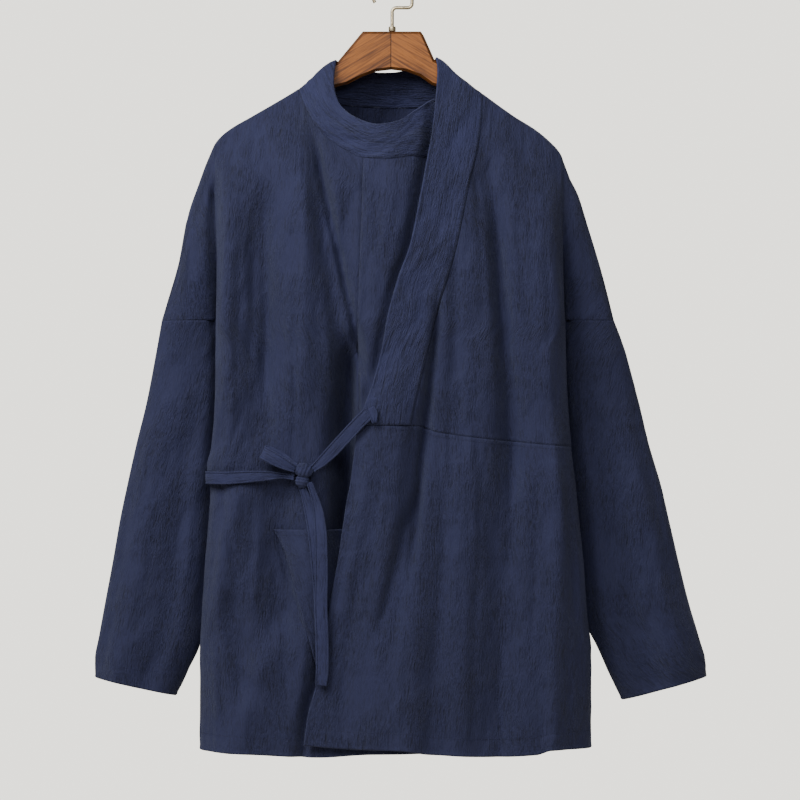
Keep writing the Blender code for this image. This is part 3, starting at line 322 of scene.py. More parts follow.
# The folded corner of the front tie where it is sewn to the overlap's edge.
TIE_TAB = (TieStation(-24.5, 500.5, 9.5), TieStation(-21.5, 507, 10.5), TieStation(-20, 518, 4))
NEAR_TAIL = (
    TieStation(-94.5, 586, 6), TieStation(-88.5, 602, 8.5), TieStation(-83.5, 622, 12),
    TieStation(-81, 650, 14.5), TieStation(-80.5, 690, 15), TieStation(-81, 725, 15),
    TieStation(-79.5, 765, 15), TieStation(-79.3, 796, 15), TieStation(-80.8, 817, 13),
)
FAR_TAIL = (
    TieStation(-102, 593, 7.5), TieStation(-96.5, 608, 12), TieStation(-89, 641, 15),
    TieStation(-84.8, 682, 15), TieStation(-82, 716, 15), TieStation(-80.5, 758, 15),
    TieStation(-79.5, 800, 14),
)
LoopPoint = namedtuple("LoopPoint", "x y down width")
LOOP = (
    LoopPoint(-110.1, -3.2, 571, 8), LoopPoint(-120, -6.2, 566.4, 12),
    LoopPoint(-133, -7.4, 559.6, 15), LoopPoint(-143, -6.4, 554.2, 15.5),
    LoopPoint(-147.8, -2.2, 551.6, 15.5), LoopPoint(-147.4, 2.0, 551, 15.5),
    LoopPoint(-141.2, 4.6, 552, 15), LoopPoint(-130.4, 4.6, 556.5, 14.5),
    LoopPoint(-118.6, 2.6, 563.2, 11.5), LoopPoint(-109.5, 0.6, 569, 8),
)
TIE_LIFT = 1.6
TIE_MARGIN = 3.0
TIE_STITCH = 2.1
TAIL_SPACING = 2.2
FAR = 400.0

HEM_DEPTH = 20.0
CUFF_DEPTH = 20.0

# The finished grids of the cloth pieces in millimetres, which later pieces lie on or are sewn to.
GRIDS = {}


def mix(low, high, share):
    return low + (high - low) * share


def smooth(share):
    share = np.clip(share, 0.0, 1.0)
    return share * share * (3 - 2 * share)


def curve(table, key=0, value=1):
    """A reader of a smooth curve through a table's rows that never overshoots them."""
    keys = np.array([row[key] for row in table], float)
    values = np.array([row[value] for row in table], float)
    slopes = np.diff(values) / np.diff(keys)
    product = slopes[:-1] * slopes[1:]
    total = np.where(product > 0, slopes[:-1] + slopes[1:], 1.0)
    inner = np.where(product > 0, 2 * product / total, 0.0)
    tangents = np.concatenate((slopes[:1], inner, slopes[-1:]))

    def at(place):
        place = np.clip(np.asarray(place, float), keys[0], keys[-1])
        low = np.clip(np.searchsorted(keys, place, side="right") - 1, 0, len(keys) - 2)
        span = keys[low + 1] - keys[low]
        t = (place - keys[low]) / span
        rise = values[low] * (1 + 2 * t) * (1 - t) ** 2 + values[low + 1] * t**2 * (3 - 2 * t)
        return rise + span * (tangents[low] * t * (1 - t) ** 2 + tangents[low + 1] * t**2 * (t - 1))

    return at


def straight(table, value=1):
    """A reader of the straight lines between a table's rows."""
    keys = [row[0] for row in table]
    values = [row[value] for row in table]

    def at(place):
        return np.interp(place, keys, values)

    return at


def stations(table):
    """Readers of each column of a table, by the place along its rows."""
    numbered = [(i, *row) for i, row in enumerate(table)]
    return [curve(numbered, value=1 + i) for i in range(len(table[0]))]


top_down = curve(TOP_LINE)
lean_at = curve(TOP_LINE, value=2)
front_depth = curve(DEPTHS)
back_depth = curve(DEPTHS, value=2)
right_edge = curve(SIDE_EDGES)
left_edge = curve(SIDE_EDGES, value=2)
lap_x = curve(LAP_EDGE)
overlap_seam_x = curve(OVERLAP_SEAM)
overlap_seam_rise = curve(OVERLAP_SEAM, value=2)
inner_seam_x = curve(INNER_PANEL_SEAM)
inner_free_x = straight(INNER_FREE_EDGE)
waist_down = curve(WAIST_SEAM)
right_hem = curve(RIGHT_HEM)
left_hem = curve(LEFT_HEM)
back_hem = curve(BACK_HEM)


def inward(x, down):
    return lean_at(x) * np.maximum(down - top_down(x), 0.0)


def soft_maximum(first, second, blend=3.0):
    """The greater of two values, a little more where they are alike."""
    return (first + second + np.hypot(first - second, blend)) / 2


def neck_bulge(x, distance):
    round_neck = np.cos(np.pi / 2 * np.clip(x / NECK_HALF_WIDTH, -1, 1)) ** 2
    return NECK_BULGE * round_neck * smooth(distance / NECK_BULGE_EASE)


def fold_rise(folds, x, down):
    total = np.zeros(np.broadcast(x, down).shape)
    for fold in folds:
        along = (down - fold.top_down) / (fold.low_down - fold.top_down)
        swing = fold.bow * np.sin(np.pi * np.clip(along, 0, 1))
        centre = mix(fold.top_x, fold.low_x, along) + swing
        ends = smooth(np.minimum(along, 1 - along) / FOLD_END)
        total += fold.rise * ends * np.exp(-(((x - centre) / fold.width) ** 2))
    return total


def depth_at(x, down, depth, folds):
    distance = inward(x, down)
    plain = depth(distance) + neck_bulge(x, distance)
    return plain + fold_rise(folds, x, down) * smooth((distance - FOLDS_START) / FOLDS_EASE)


def overlap_y(x, down):
    across = smooth((LIFT_END_X - x) / LIFT_FADE)
    lift = OVERLAP_LIFT * across * smooth((inward(x, down) - LIFT_START) / LIFT_EASE)
    return -depth_at(x, down, front_depth, OVERLAP_FOLDS + OVERLAP_CREASES) - lift


def under_y(x, down):
    """The inner front, behind the overlap wherever that covers it, and tucked in along its edge."""
    own = -depth_at(x, down, front_depth, RIGHT_FOLDS + RIGHT_CREASES)
    bare = np.maximum(lap_x(down) - LAP_SHADOW - x, 0.0)
    covered = soft_maximum(own, overlap_y(x, down) + LAYER_GAP - BARE_SLOPE * bare)
    tuck = TUCK_DEPTH * np.exp(-(((lap_x(down) - x) / TUCK_WIDTH) ** 2))
    tuck = tuck * smooth((down - TUCK_START) / TUCK_EASE)
    return np.where(bare > BARE_REACH, own, covered) + tuck


def back_y(x, down):
    return depth_at(x, down, back_depth, BACK_FOLDS + BACK_CREASES)


LATTICE = np.random.default_rng(7).uniform(-1, 1, (256, 256))


def noise(u, v, shift=0):
    """Smooth noise from -1 to 1 over cells one unit wide."""
    low_u, low_v = np.floor(u).astype(int), np.floor(v).astype(int)
    part_u, part_v = smooth(u - low_u), smooth(v - low_v)

    def corner(i, j):
        return LATTICE[(low_u + i + 13 * shift) % 256, (low_v + j + 37 * shift) % 256]

    near = mix(corner(0, 0), corner(1, 0), part_u)
    far = mix(corner(0, 1), corner(1, 1), part_u)
    return mix(near, far, part_v)


# Widths and lengths of the areas over which the fine creases wander and in which they gather.
WANDER_AREA = (60.0, 90.0)
PATCH_AREA = (48.0, 85.0)


def crinkle(u, v, settings, seed):
    """Fine lengthwise creases in patches, wide ridges with small ones between them."""
    width, length = settings.crinkle_width / MM, settings.crinkle_length / MM
    wander = noise(u / WANDER_AREA[0], v / WANDER_AREA[1], seed + 3) * width
    wide = 1 - 2.4 * np.abs(noise((u + wander) / width, v / length, seed + 5))
    small = noise((u + 1.6 * wander) / (0.62 * width), v / (0.5 * length), seed + 11)
    patch = 0.35 + 0.65 * smooth(0.55 + 0.9 * noise(u / PATCH_AREA[0], v / PATCH_AREA[1], seed + 17))
    return settings.crinkle_height / MM * patch * (0.65 * wide + 0.45 * small)


def steps_along(grid, axis):
    """The step along an axis at each point of a grid, from the neighbours that exist."""
    step = np.diff(grid, axis=axis)
    none = np.full_like(np.take(grid, [0], axis=axis), np.nan)
    after = np.concatenate((step, none), axis=axis)
    before = np.concatenate((none, step), axis=axis)
    count = (~np.isnan(after)).astype(int) + ~np.isnan(before)
    return (np.nan_to_num(after) + np.nan_to_num(before)) / np.maximum(count, 1)


def normals_of(grid, closed=False):
    """Outward normals of a grid whose rows run down and whose columns run right, seen from outside."""
    if closed:
        wide = np.concatenate((grid[:, -1:], grid, grid[:, :1]), axis=1)
        across = steps_along(wide, 1)[:, 1:-1]
    else:
        across = steps_along(grid, 1)
    normal = np.cross(steps_along(grid, 0), across)
    return normal / np.maximum(np.linalg.norm(normal, axis=-1, keepdims=True), 1e-9)


def arc_maps(grid, anchor):
    """The cloth's own coordinates: the arc across from an anchor column, and the arc down."""
    across = np.nan_to_num(np.linalg.norm(np.diff(grid, axis=1), axis=-1))
    across = np.concatenate((np.zeros((len(grid), 1)), np.cumsum(across, axis=1)), axis=1)
    along = np.nan_to_num(np.linalg.norm(np.diff(grid, axis=0), axis=-1))
    along = np.concatenate((-grid[:1, :, 2], along), axis=0)
    return across - across[:, anchor : anchor + 1], np.cumsum(along, axis=0)


def faces_of(there, closed=False):
    """The corners of each face of a grid, as row and column indexes in four arrays."""
    rows, columns = there.shape
    row, column = np.meshgrid(np.arange(rows - 1), np.arange(columns if closed else columns - 1),
                              indexing="ij")
    corners = [(row, column), (row + 1, column), (row + 1, column + 1), (row, column + 1)]
    whole = np.logical_and.reduce([there[r, c % columns] for r, c in corners])
    return [(r[whole], c[whole]) for r, c in corners]


def object_in_scene(name, mesh):
    obj = bpy.data.objects.new(name, mesh)
    bpy.context.scene.collection.objects.link(obj)
    return obj


def only(obj):
    """Makes an object the only selected one, and the active one."""
    bpy.ops.object.select_all(action="DESELECT")
    obj.select_set(True)
    bpy.context.view_layer.objects.active = obj


def sheet_object(name, grid, maps, wall, closed=False, poles=False):
    """A cloth object through a grid of points, made thick inwards, with its own coordinates as UVs."""
    columns = grid.shape[1]
    there = ~np.isnan(grid[..., 0])
    index = np.cumsum(there).reshape(there.shape) - 1
    corners = faces_of(there, closed)
    faces = np.stack([index[r, c % columns] for r, c in corners], axis=-1)
    mesh = bpy.data.meshes.new(name)
    mesh.from_pydata((grid[there] * MM).tolist(), [], faces.tolist())
    across, along = maps
    uv = np.stack([
        np.stack((across[r, c], -along[r, c % columns]), axis=-1) for r, c in corners
    ], axis=1)
    layer = mesh.uv_layers.new(name="cloth")
    layer.data.foreach_set("uv", (uv * MM).ravel())
    mesh.shade_smooth()
    obj = object_in_scene(name, mesh)
    only(obj)
    if poles:
        bpy.ops.object.mode_set(mode="EDIT")
        bpy.ops.mesh.select_all(action="SELECT")
        bpy.ops.mesh.remove_doubles(threshold=1e-6)
        bpy.ops.object.mode_set(mode="OBJECT")
    solidify = obj.modifiers.new("wall", "SOLIDIFY")
    solidify.thickness = wall
    solidify.offset = -1
    bpy.ops.object.modifier_apply(modifier="wall")
    return obj


def edge_fade(grid, closed=False, reach=3):
    """0 at a grid's free edges and 1 a few steps inside."""
    inside = ~np.isnan(grid[..., 0])
    depth = inside.astype(float)
    for _ in range(reach):
        padded = np.pad(depth, ((1, 1), (0, 0)))
        padded = np.pad(padded, ((0, 0), (1, 1)), mode="wrap" if closed else "constant")
        around = [padded[1:-1, :-2], padded[1:-1, 2:], padded[:-2, 1:-1], padded[2:, 1:-1]]
        lowest = np.minimum.reduce(around)
        depth = np.where(inside, depth + (lowest >= depth), 0)
    return np.clip((depth - 1) / reach, 0, 1)


def bell(distance, width):
    """1 at no distance, and falling to nothing a few widths away."""
    return np.exp(-((distance / width) ** 2))


GROOVE_DEPTH, GROOVE_WIDTH = 0.2, 2.2
PUCKER_HEIGHT, PUCKER_LENGTH, PUCKER_REACH = 0.55, 7.0, 11.0
BEAD_INSET, BEAD_WIDTH, BEAD_EDGE = 1.6, 1.1, 0.6


def sewn_groove(distance, along, seed):
    """The shallow groove of a seam, with small puckers that die out beside it."""
    pucker = PUCKER_HEIGHT * noise(along / PUCKER_LENGTH, 0 * along, seed)
    return pucker * bell(distance, PUCKER_REACH) - GROOVE_DEPTH * bell(distance, GROOVE_WIDTH)


def rolled(distance, height):
    """The soft bead of a turned edge, by the distance in from it."""
    bead = bell(distance - BEAD_INSET, BEAD_WIDTH)
    return height * (bead - 0.9 * bell(distance, BEAD_EDGE))


def finish_piece(obj, finish, node=None):
    """Fixes a piece to the body, its material and the solid that it stands for."""
    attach(obj, "root")
    if node:
        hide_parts(node)
    obj.data.materials.clear()
    obj.data.materials.append(material(finish))


# The start of each piece's own crinkle, so that no two are alike.
SEEDS = {
    "front_right_main": 1, "front_right_inner": 2, "front_left_upper": 3, "front_left_lower": 4,
    "back": 5, "collar_band": 6, "sleeve_right": 7, "sleeve_left": 8, "pocket": 9,
}
GROOVE_SEED = 23
CLOSING_SHARE = 0.05


def dress(name, grid, settings, anchor=0, closed=False, seams=(), rolls=(), wall=None):
    """Adds the crinkle, the seams' puckers and the turned edges, and makes the cloth object."""
    seed = SEEDS[name]
    maps = arc_maps(np.concatenate((grid, grid[:, :1]), axis=1) if closed else grid, anchor)
    across, along = (values[:, : grid.shape[1]] for values in maps)
    rise = crinkle(across, along, settings, seed)
    if closed:
        turn = np.linspace(0, 1, grid.shape[1], endpoint=False)
        rise = rise * smooth(np.minimum(turn, 1 - turn) / CLOSING_SHARE)
    for distance, run in seams:
        rise = rise + sewn_groove(distance, run, seed + GROOVE_SEED)
    rise = rise * edge_fade(grid, closed)
    for distance, height in rolls:
        rise = rise + rolled(distance, height)
    grid = grid + normals_of(grid, closed) * rise[..., None]
    GRIDS[name] = grid
    obj = sheet_object("cloth_" + name, grid, maps, wall or settings.wall, closed)
    finish = "navy band cloth" if name == "collar_band" else "navy crinkled cloth"
    finish_piece(obj, finish, name)


# Side by side columns of a front or back: where each starts, where it runs lower down, its share
# of the way from the side seam's depth to the sheet's, and its turn round the drop shoulder, if any.
Strip = namedtuple("Strip", "top_x top_down low share turn")


def flipped(strip):
    """The strip from right to left."""
    def low(down):
        return strip.low(down[..., ::-1])[..., ::-1]

    return Strip(strip.top_x[::-1], strip.top_down[::-1], low, strip.share[::-1], strip.turn[::-1])


def cap_strip(side, count):
    """Columns round the drop shoulder's outer fold, from which the sleeve hangs."""
    outer, inner = SLEEVE_TOPS[side]
    place = np.linspace(0, len(CAP_TURNS) - 1, count)
    turn = np.interp(place, range(len(CAP_TURNS)), CAP_TURNS)
    top_x = curve(list(enumerate(CAP_TOPS[side])))(place)
    round_x = mix(outer, inner, (1 - np.cos(np.radians(turn))) / 2)

    def low(down):
        return round_x + 0 * down

    return Strip(top_x, top_down(top_x), low, np.ones(count), turn)


def side_x(side, inset, down):
    """Where a column this far in from the side edge runs."""
    eased = mix(np.minimum(inset, SIDE_INSET), inset, smooth((down - ARMPIT_DOWN) / SIDE_EASE))
    return right_edge(down) + eased if side == "right" else left_edge(down) - eased


def last_side(side, turns):
    """Where the innermost column of a side strip runs."""
    def at(down):
        return side_x(side, turns[-1].inset, down)

    return at


def side_strip(side, turns, count):
    """Columns from the side seam round to the flat of the front or back."""
    place = np.linspace(0, len(turns) - 1, count)
    inset, share = (read(place) for read in stations(turns))
    top_x = curve(list(enumerate(SIDE_TOPS[side])))(place)

    def low(down):
        return side_x(side, inset, down)

    return Strip(top_x, top_down(top_x), low, share, np.full(count, np.nan))


def flat_strip(top_x, top_y, start, end, first=0, last=None, along=None):
    """Columns between two lines, below tops of their own, from first up to last."""
    along = np.linspace(0, 1, len(top_x)) if along is None else along
    along = along[first:last]
    top_x, top_y = top_x[first:last], top_y[first:last]

    def low(down):
        return mix(start(down), end(down), along)

    ones = np.ones(len(top_x))
    return Strip(np.asarray(top_x, float), np.asarray(top_y, float), low, ones, ones * np.nan)


def moved_out(readers, place):
    """The panel's edge at places along the band's stations, the seam gap away from the band."""
    seam_x, seam_down, edge_x, edge_down = (read(place) for read in readers)
    length = np.hypot(seam_x - edge_x, seam_down - edge_down)
    return (
        seam_x + SEAM_GAP * (seam_x - edge_x) / length,
        seam_down + SEAM_GAP * (seam_down - edge_down) / length,
    )


def upper_points(strip, shares, surface, sign, seam_y):
    """Rows from the top edge to the armpit level."""
    low_x = strip.low(np.full((1, 1), ARMPIT_DOWN))
    x = mix(strip.top_x, low_x, shares)
    down = mix(strip.top_down, ARMPIT_DOWN, shares)
    y = surface(x, down)
    reach = CAP_FRONT if sign < 0 else CAP_BACK
    turn = np.nan_to_num(strip.turn)
    round_y = sign * np.maximum(reach * np.sin(np.radians(turn)), FOLD_GAP)
    beside = mix(y, mix(seam_y, y, strip.share), smooth(shares))
    y = np.where(np.isnan(strip.turn), beside, mix(y, round_y, smooth(shares)))
    return np.stack((x, y, -down), axis=-1)


def lower_points(strip, shares, surface, start, bottom, seam_y, bottom_down=HEM_DOWN):
    """Rows from a starting line to the bottom line."""
    begins = start(strip.low(np.full((1, 1), WAIST_DOWN)))
    ends = bottom(strip.low(np.full((1, 1), bottom_down)))
    down = mix(begins, ends, shares)
    x = strip.low(down)
    y = mix(seam_y, surface(x, down), strip.share)
    points = np.stack((x, y, -down), axis=-1)
    points[:, ~np.isnan(strip.turn)] = np.nan
    return points


def armpit_line(x):
    return 0 * x + ARMPIT_DOWN


# How far in from a rolled edge its first few rows or columns lie.
EDGE_STEPS = (0.0, 0.5, 1.0, 1.7, 2.6)


def spread(settings, length, first=False, last=False):
    """Shares of the way along a length, closer together at an end that has a rolled edge."""
    even = np.linspace(0, 1, max(int(length * MM / settings.step), 6))
    fine = np.array(EDGE_STEPS) / length
    low, high = (fine[-1] if first else -1), (1 - fine[-1] if last else 2)
    margin = 0.4 / len(even)
    parts = [even[(even > low + margin) & (even < high - margin)]]
    if first:
        parts.insert(0, fine)
    if last:
        parts.append(1 - fine[::-1])
    return np.concatenate(parts)


def row_shares(settings, length, power=1.0):
    count = max(int(length * MM / settings.step), 4)
    return (np.linspace(0, 1, count) ** power)[:, None]


UPPER_LENGTH, UPPER_POWER = 250, 1.4
LOWER_LENGTH = 500
GUSSET_SHARES = np.linspace(0, 1, 5)[1:-1, None]


def gusset(before, after):
    """The armpit's gusset, between the last column of one block and the first of the next."""
    return mix(before[:, -1:], after[:, :1], GUSSET_SHARES)


def panel(strips, settings, surface, sign, bottom, seam_y):
    """A whole front or back: its strips side by side, with a gusset between cap and side."""
    high = row_shares(settings, UPPER_LENGTH, UPPER_POWER)
    low = spread(settings, LOWER_LENGTH, last=True)[1:, None]
    blocks, last = [], None
    for strip in strips:
        block = np.concatenate((
            upper_points(strip, high, surface, sign, seam_y),
            lower_points(strip, low, surface, armpit_line, bottom, seam_y),
        ))
        has_turn = not np.isnan(strip.turn[0])
        if last is not None and has_turn != last[1]:
            blocks.append(gusset(last[0], block))
        blocks.append(block)
        last = (block, has_turn)
    return np.concatenate(blocks, axis=1)


def columns_for(settings, width):
    return max(int(width * MM / settings.step), 3)


def evenly(share, places, start=0, end=1):
    """The place at each share of the way, with the listed places evenly apart from start to end."""
    return np.interp(share, np.linspace(start, end, len(places)), places)


def above_last_row(grid):
    """The height of each point over its column's lowest, or far off where the column ends early."""
    return np.nan_to_num(grid[:, :, 2] - grid[-1:, :, 2], nan=FAR_OFF)


HEM_ROLL, LAP_ROLL, POCKET_ROLL = 0.5, 0.7, 0.6
BAND_FREE_ROLL, BAND_SEAM_ROLL = 0.8, 0.4
WAIST_STITCH, WAIST_TOPSTITCH = 1.5, 4.5
LAP_STITCH, LAP_LENGTH = 8.0, 370
FREE_EDGE_INSET = 1.2
SIDE_WIDTH = 60
CAP_WIDTHS = {"right": 62, "left": 58}
SHOULDER_SHARE = 5 / 12


def build_front_right(settings):
    """The wearer's right front: its main panel, and the panel that goes under the overlap."""
    sides = side_strip("right", FRONT_TURN, columns_for(settings, SIDE_WIDTH))
    cap = cap_strip("right", columns_for(settings, CAP_WIDTHS["right"]))
    readers = stations(INNER_STATIONS)
    share = np.linspace(0, 1, columns_for(settings, 165))
    on_ridge = share <= SHOULDER_SHARE
    ridge_x = evenly(share, RIGHT_TOPS, 0, SHOULDER_SHARE)
    neck_x, neck_down = moved_out(readers, evenly(share, RIGHT_NECK_PLACES, SHOULDER_SHARE, 1))
    top_x = np.where(on_ridge, ridge_x, neck_x)
    top = np.where(on_ridge, top_down(ridge_x), neck_down)

    flats = flat_strip(top_x, top, last_side("right", FRONT_TURN), inner_seam_x, 1)
    grid = panel([cap, sides, flats], settings, under_y, -1, right_hem, SIDE_SEAM_Y)
    above = above_last_row(grid)
    dress("front_right_main", grid, settings, grid.shape[1] // 2,
          seams=[(above - HEM_DEPTH, grid_across(grid))], rolls=[(above, HEM_ROLL)])

    def seam(down):
        return inner_seam_x(down) + 2 * SEAM_GAP

    def free_edge(down):
        return inner_free_x(down) - FREE_EDGE_INSET

    share = np.linspace(0, 1, columns_for(settings, 90))
    inner_x, inner_top = moved_out(readers, evenly(share, INNER_NECK_PLACES))
    inner_x[0] += SEAM_GAP
    strip = flat_strip(inner_x, inner_top, seam, free_edge)
    grid = panel([strip], settings, under_y, -1, right_hem, SIDE_SEAM_Y)
    above = above_last_row(grid)
    dress("front_right_inner", grid, settings,
          seams=[(above - HEM_DEPTH, grid_across(grid))], rolls=[(above, HEM_ROLL)])


def grid_across(grid):
    """The arc across a grid from its first column, row by row."""
    return arc_maps(grid, 0)[0]


def build_overlap(settings):
    """The wearer's left front, above and below the waist seam."""
    sides = side_strip("left", FRONT_TURN, columns_for(settings, SIDE_WIDTH))
    cap = cap_strip("left", columns_for(settings, CAP_WIDTHS["left"]))
    share = np.linspace(0, 1, columns_for(settings, 160))
    top_x = evenly(share, OVERLAP_TOPS)

    def seam(down):
        return overlap_seam_x(down) + SEAM_GAP

    inner = last_side("left", FRONT_TURN)
    flats = flat_strip(top_x, top_down(top_x), seam, inner, 0, -1)
    strips = (flats, flipped(sides), flipped(cap))
    high = row_shares(settings, UPPER_LENGTH, UPPER_POWER)
    low = row_shares(settings, 145)[1:]
    upper = [upper_points(strip, high, overlap_y, -1, SIDE_SEAM_Y) for strip in strips]
    down = -upper[0][..., 2]
    eased = 1 - smooth(share[:-1] * 3)
    seam_shift = (seam(down[:, :1]) - upper[0][:, :1, 0]) * eased
    x = upper[0][..., 0] + seam_shift
    upper[0] = np.stack((x, overlap_y(x, down), -down), axis=-1)

    def waist(x):
        return waist_down(x) - SEAM_GAP / 2

    lower = [lower_points(strip, low, overlap_y, armpit_line, waist, SIDE_SEAM_Y, WAIST_DOWN)
             for strip in strips]
    blocks = [np.concatenate(pair) for pair in zip(upper, lower)]
    blocks.insert(2, gusset(blocks[1], blocks[2]))
    grid = np.concatenate(blocks, axis=1)
    dress("front_left_upper", grid, settings, grid.shape[1] // 2,
          seams=[(above_last_row(grid) - WAIST_STITCH, grid_across(grid))])

    def below_waist(x):
        return waist_down(x) + SEAM_GAP / 2

    along = spread(settings, 270, first=True)
    flats = flat_strip(0 * along, 0 * along, lap_x, inner, 0, -1, along)
    rows = spread(settings, LAP_LENGTH, last=True)[:, None]
    grid = np.concatenate([
        lower_points(strip, rows, overlap_y, below_waist, left_hem, SIDE_SEAM_Y)
        for strip in (flats, flipped(sides))
    ], axis=1)
    above, run = above_last_row(grid), grid_across(grid)
    waist_distance = grid[:1, :, 2] - grid[:, :, 2] - WAIST_TOPSTITCH
    dress("front_left_lower", grid, settings, grid.shape[1] // 2,
          seams=[(above - HEM_DEPTH, run), (waist_distance, run), (run - LAP_STITCH, -grid[..., 2])],
          rolls=[(above, HEM_ROLL), (run, LAP_ROLL)])


def build_back(settings):
    """The back, from the wearer's left to right."""
    left, right = (
        (cap_strip(side, columns_for(settings, CAP_WIDTHS[side])),
         side_strip(side, BACK_TURN, columns_for(settings, SIDE_WIDTH)))
        for side in ("left", "right")
    )
    share = np.linspace(0, 1, columns_for(settings, 400))
    first, last = 4 / 22, 18 / 22
    left_x = evenly(share, BACK_TOPS_LEFT, 0, first)
    right_x = evenly(share, BACK_TOPS_RIGHT, last, 1)
    place = evenly(share, BACK_NECK_PLACES, first, last)
    neck_x, neck_down = moved_out(stations(NECK_STATIONS), place)
    at_left, at_right = share <= first, share >= last
    top_x = np.where(at_left, left_x, np.where(at_right, right_x, neck_x))
    top = np.where(at_left | at_right, top_down(top_x), neck_down)
    middle = flat_strip(top_x, top, last_side("left", BACK_TURN), last_side("right", BACK_TURN),
                        1, -1)
    strips = [*left, middle, flipped(right[1]), flipped(right[0])]
    grid = panel(strips, settings, back_y, 1, back_hem, SIDE_SEAM_Y + SIDE_SEAM_GAP)
    above = above_last_row(grid)
    dress("back", grid, settings, grid.shape[1] // 2,
          seams=[(above - HEM_DEPTH, grid_across(grid))], rolls=[(above, HEM_ROLL)])


def across_band(seam_x, seam_down, edge_x, edge_down, surface, share):
    """Points across the band from its seam to its free edge, a row for each place along it."""
    seam_drop, edge_drop = seam_down - top_down(seam_x), edge_down - top_down(edge_x)
    x = mix(edge_x[:, None], seam_x[:, None], share)
    down = top_down(x) + mix(edge_drop[:, None], seam_drop[:, None], share)
    return np.stack((x, surface(x, down), -down), axis=-1)


def build_band(settings):
    """The collar band: up the overlap, round the neck, and down the inner front."""
    share = 1 - spread(settings, BAND_WIDTH, last=True)[None, :]
    high = row_shares(settings, 262, 1.5).ravel()
    low = row_shares(settings, 121).ravel()[1:]
    down = np.concatenate((mix(OVERLAP_SEAM[0].down, ARMPIT_DOWN, high),
                           mix(ARMPIT_DOWN, WAIST_DOWN - SEAM_GAP / 2, low)))[:0:-1]
    edge_down = down - overlap_seam_rise(down)
    runs = [across_band(overlap_seam_x(down), down, lap_x(edge_down), edge_down, overlap_y, share)]
    neck = [read(np.linspace(0, 15, 110)) for read in stations(NECK_STATIONS)]
    runs.append(across_band(*neck, back_y, share))
    runs[-1][0, :, 1] = runs[-1][-1, :, 1] = 0.0
    place = np.concatenate((np.linspace(0, 4, 16)[1:], np.linspace(4, 16, 150)[1:]))
    inner = [read(place) for read in stations(INNER_STATIONS)]
    runs.append(across_band(*inner, under_y, share))
    grid = np.concatenate(runs)
    in_front = smooth(-grid[:, :1, 1] / BAND_RELIEF_EASE)
    grid = grid + normals_of(grid) * (BAND_RELIEF * in_front)[..., None]
    across, along = arc_maps(grid, 0)
    dress("collar_band", grid, settings, wall=BAND_WALL,
          seams=[(across - inset, along) for inset in BAND_STITCHES],
          rolls=[(across[:, -1:] - across, BAND_FREE_ROLL), (across, BAND_SEAM_ROLL)])


def build_sleeve(side, table, creases, settings):
    """A sleeve, a tube through its sections, open at the cuff."""
    share = spread(settings, 430, last=True)
    values = [read(share * (len(table) - 1))[:, None] for read in stations(table)]
    section = Section(*values)
    turn = np.arange(0, 360, 360 / columns_for(settings, 215))[None, :]
    across = (1 - np.cos(np.radians(turn))) / 2
    rise = np.zeros((len(share), turn.shape[1]))
    for fold in SLEEVE_FOLDS + creases:
        along = (share[:, None] - fold.start) / (fold.end - fold.start)
        ends = smooth(np.minimum(along, 1 - along) / FOLD_END)
        centre = fold.turn + fold.drift * along
        rise += fold.rise * ends * np.exp(-(((turn - centre) / fold.width) ** 2))
    x = mix(section.outer_x, section.inner_x, across)
    down = mix(section.outer_down, section.inner_down, across)
    lift = 1 + rise / section.half_depth
    y = section.middle_y - section.half_depth * lift * np.sin(np.radians(turn))
    grid = np.stack((x, y, -down), axis=-1)
    if side == "left":
        grid = grid[:, ::-1]
    above = above_last_row(grid)
    dress("sleeve_" + side, grid, settings, closed=True,
          seams=[(above - CUFF_DEPTH, grid_across(grid))], rolls=[(above, HEM_ROLL)])


def build_pocket(settings):
    """The patch pocket, cut with a slant, over the right front's surface."""
    rows = spread(settings, POCKET_LENGTH, first=True, last=True)[:, None]
    down = mix(POCKET_TOP, POCKET_BOTTOM, rows)
    start, end = straight(POCKET_SLANT)(down), lap_x(down) + POCKET_TUCK
    x = mix(start, end, spread(settings, 60, first=True)[None, :])
    near = (-POCKET_SPREAD, -POCKET_SPREAD / 2, 0, POCKET_SPREAD / 2, POCKET_SPREAD)
    y = np.minimum.reduce([under_y(x + i, down + j) for i in near for j in near])
    for _ in range(6):
        y = smoothed(y)
    y = np.minimum(y, under_y(x, down)) - POCKET_LIFT - CLOTH_WALL
    grid = np.stack((x, y, -down + 0 * x), axis=-1)
    top, side = grid[:1, :, 2] - grid[:, :, 2], grid_across(grid)
    bottom = POCKET_LENGTH - top
    dress("pocket", grid, settings,
          seams=[(top - POCKET_HEM, side), (side - POCKET_STITCH, -grid[..., 2]),
                 (bottom - POCKET_STITCH, side)],
          rolls=[(edge, POCKET_ROLL) for edge in (top, side, bottom)])


def smoothed(values):
    wide = np.pad(values, 1, mode="edge")
    return (wide[1:-1, 1:-1] * 2 + wide[:-2, 1:-1] + wide[2:, 1:-1] + wide[1:-1, :-2]
            + wide[1:-1, 2:]) / 6


def tree_of(name):
    """A tree of a finished grid's faces, for rays, in millimetres."""
    grid = GRIDS[name]
    there = ~np.isnan(grid[..., 0])
    index = np.cumsum(there).reshape(there.shape) - 1
    faces = np.stack([index[r, c] for r, c in faces_of(there)], axis=-1)
    return BVHTree.FromPolygons(grid[there].tolist(), faces.tolist())


def foremost(trees, x, down, around=0.0):
    """The front of the sheets near a point, as the smallest y that a ray from in front meets."""
    found = []
    for step_x in (-around, 0.0, around):
        for step_down in (-around, 0.0, around):
            for tree in trees:
                start = Vector((x + step_x, -FAR, -down - step_down))
                hit = tree.ray_cast(start, Vector((0, 1, 0)))[0]
                if hit is not None:
                    found.append(hit.y)
    return min(found)


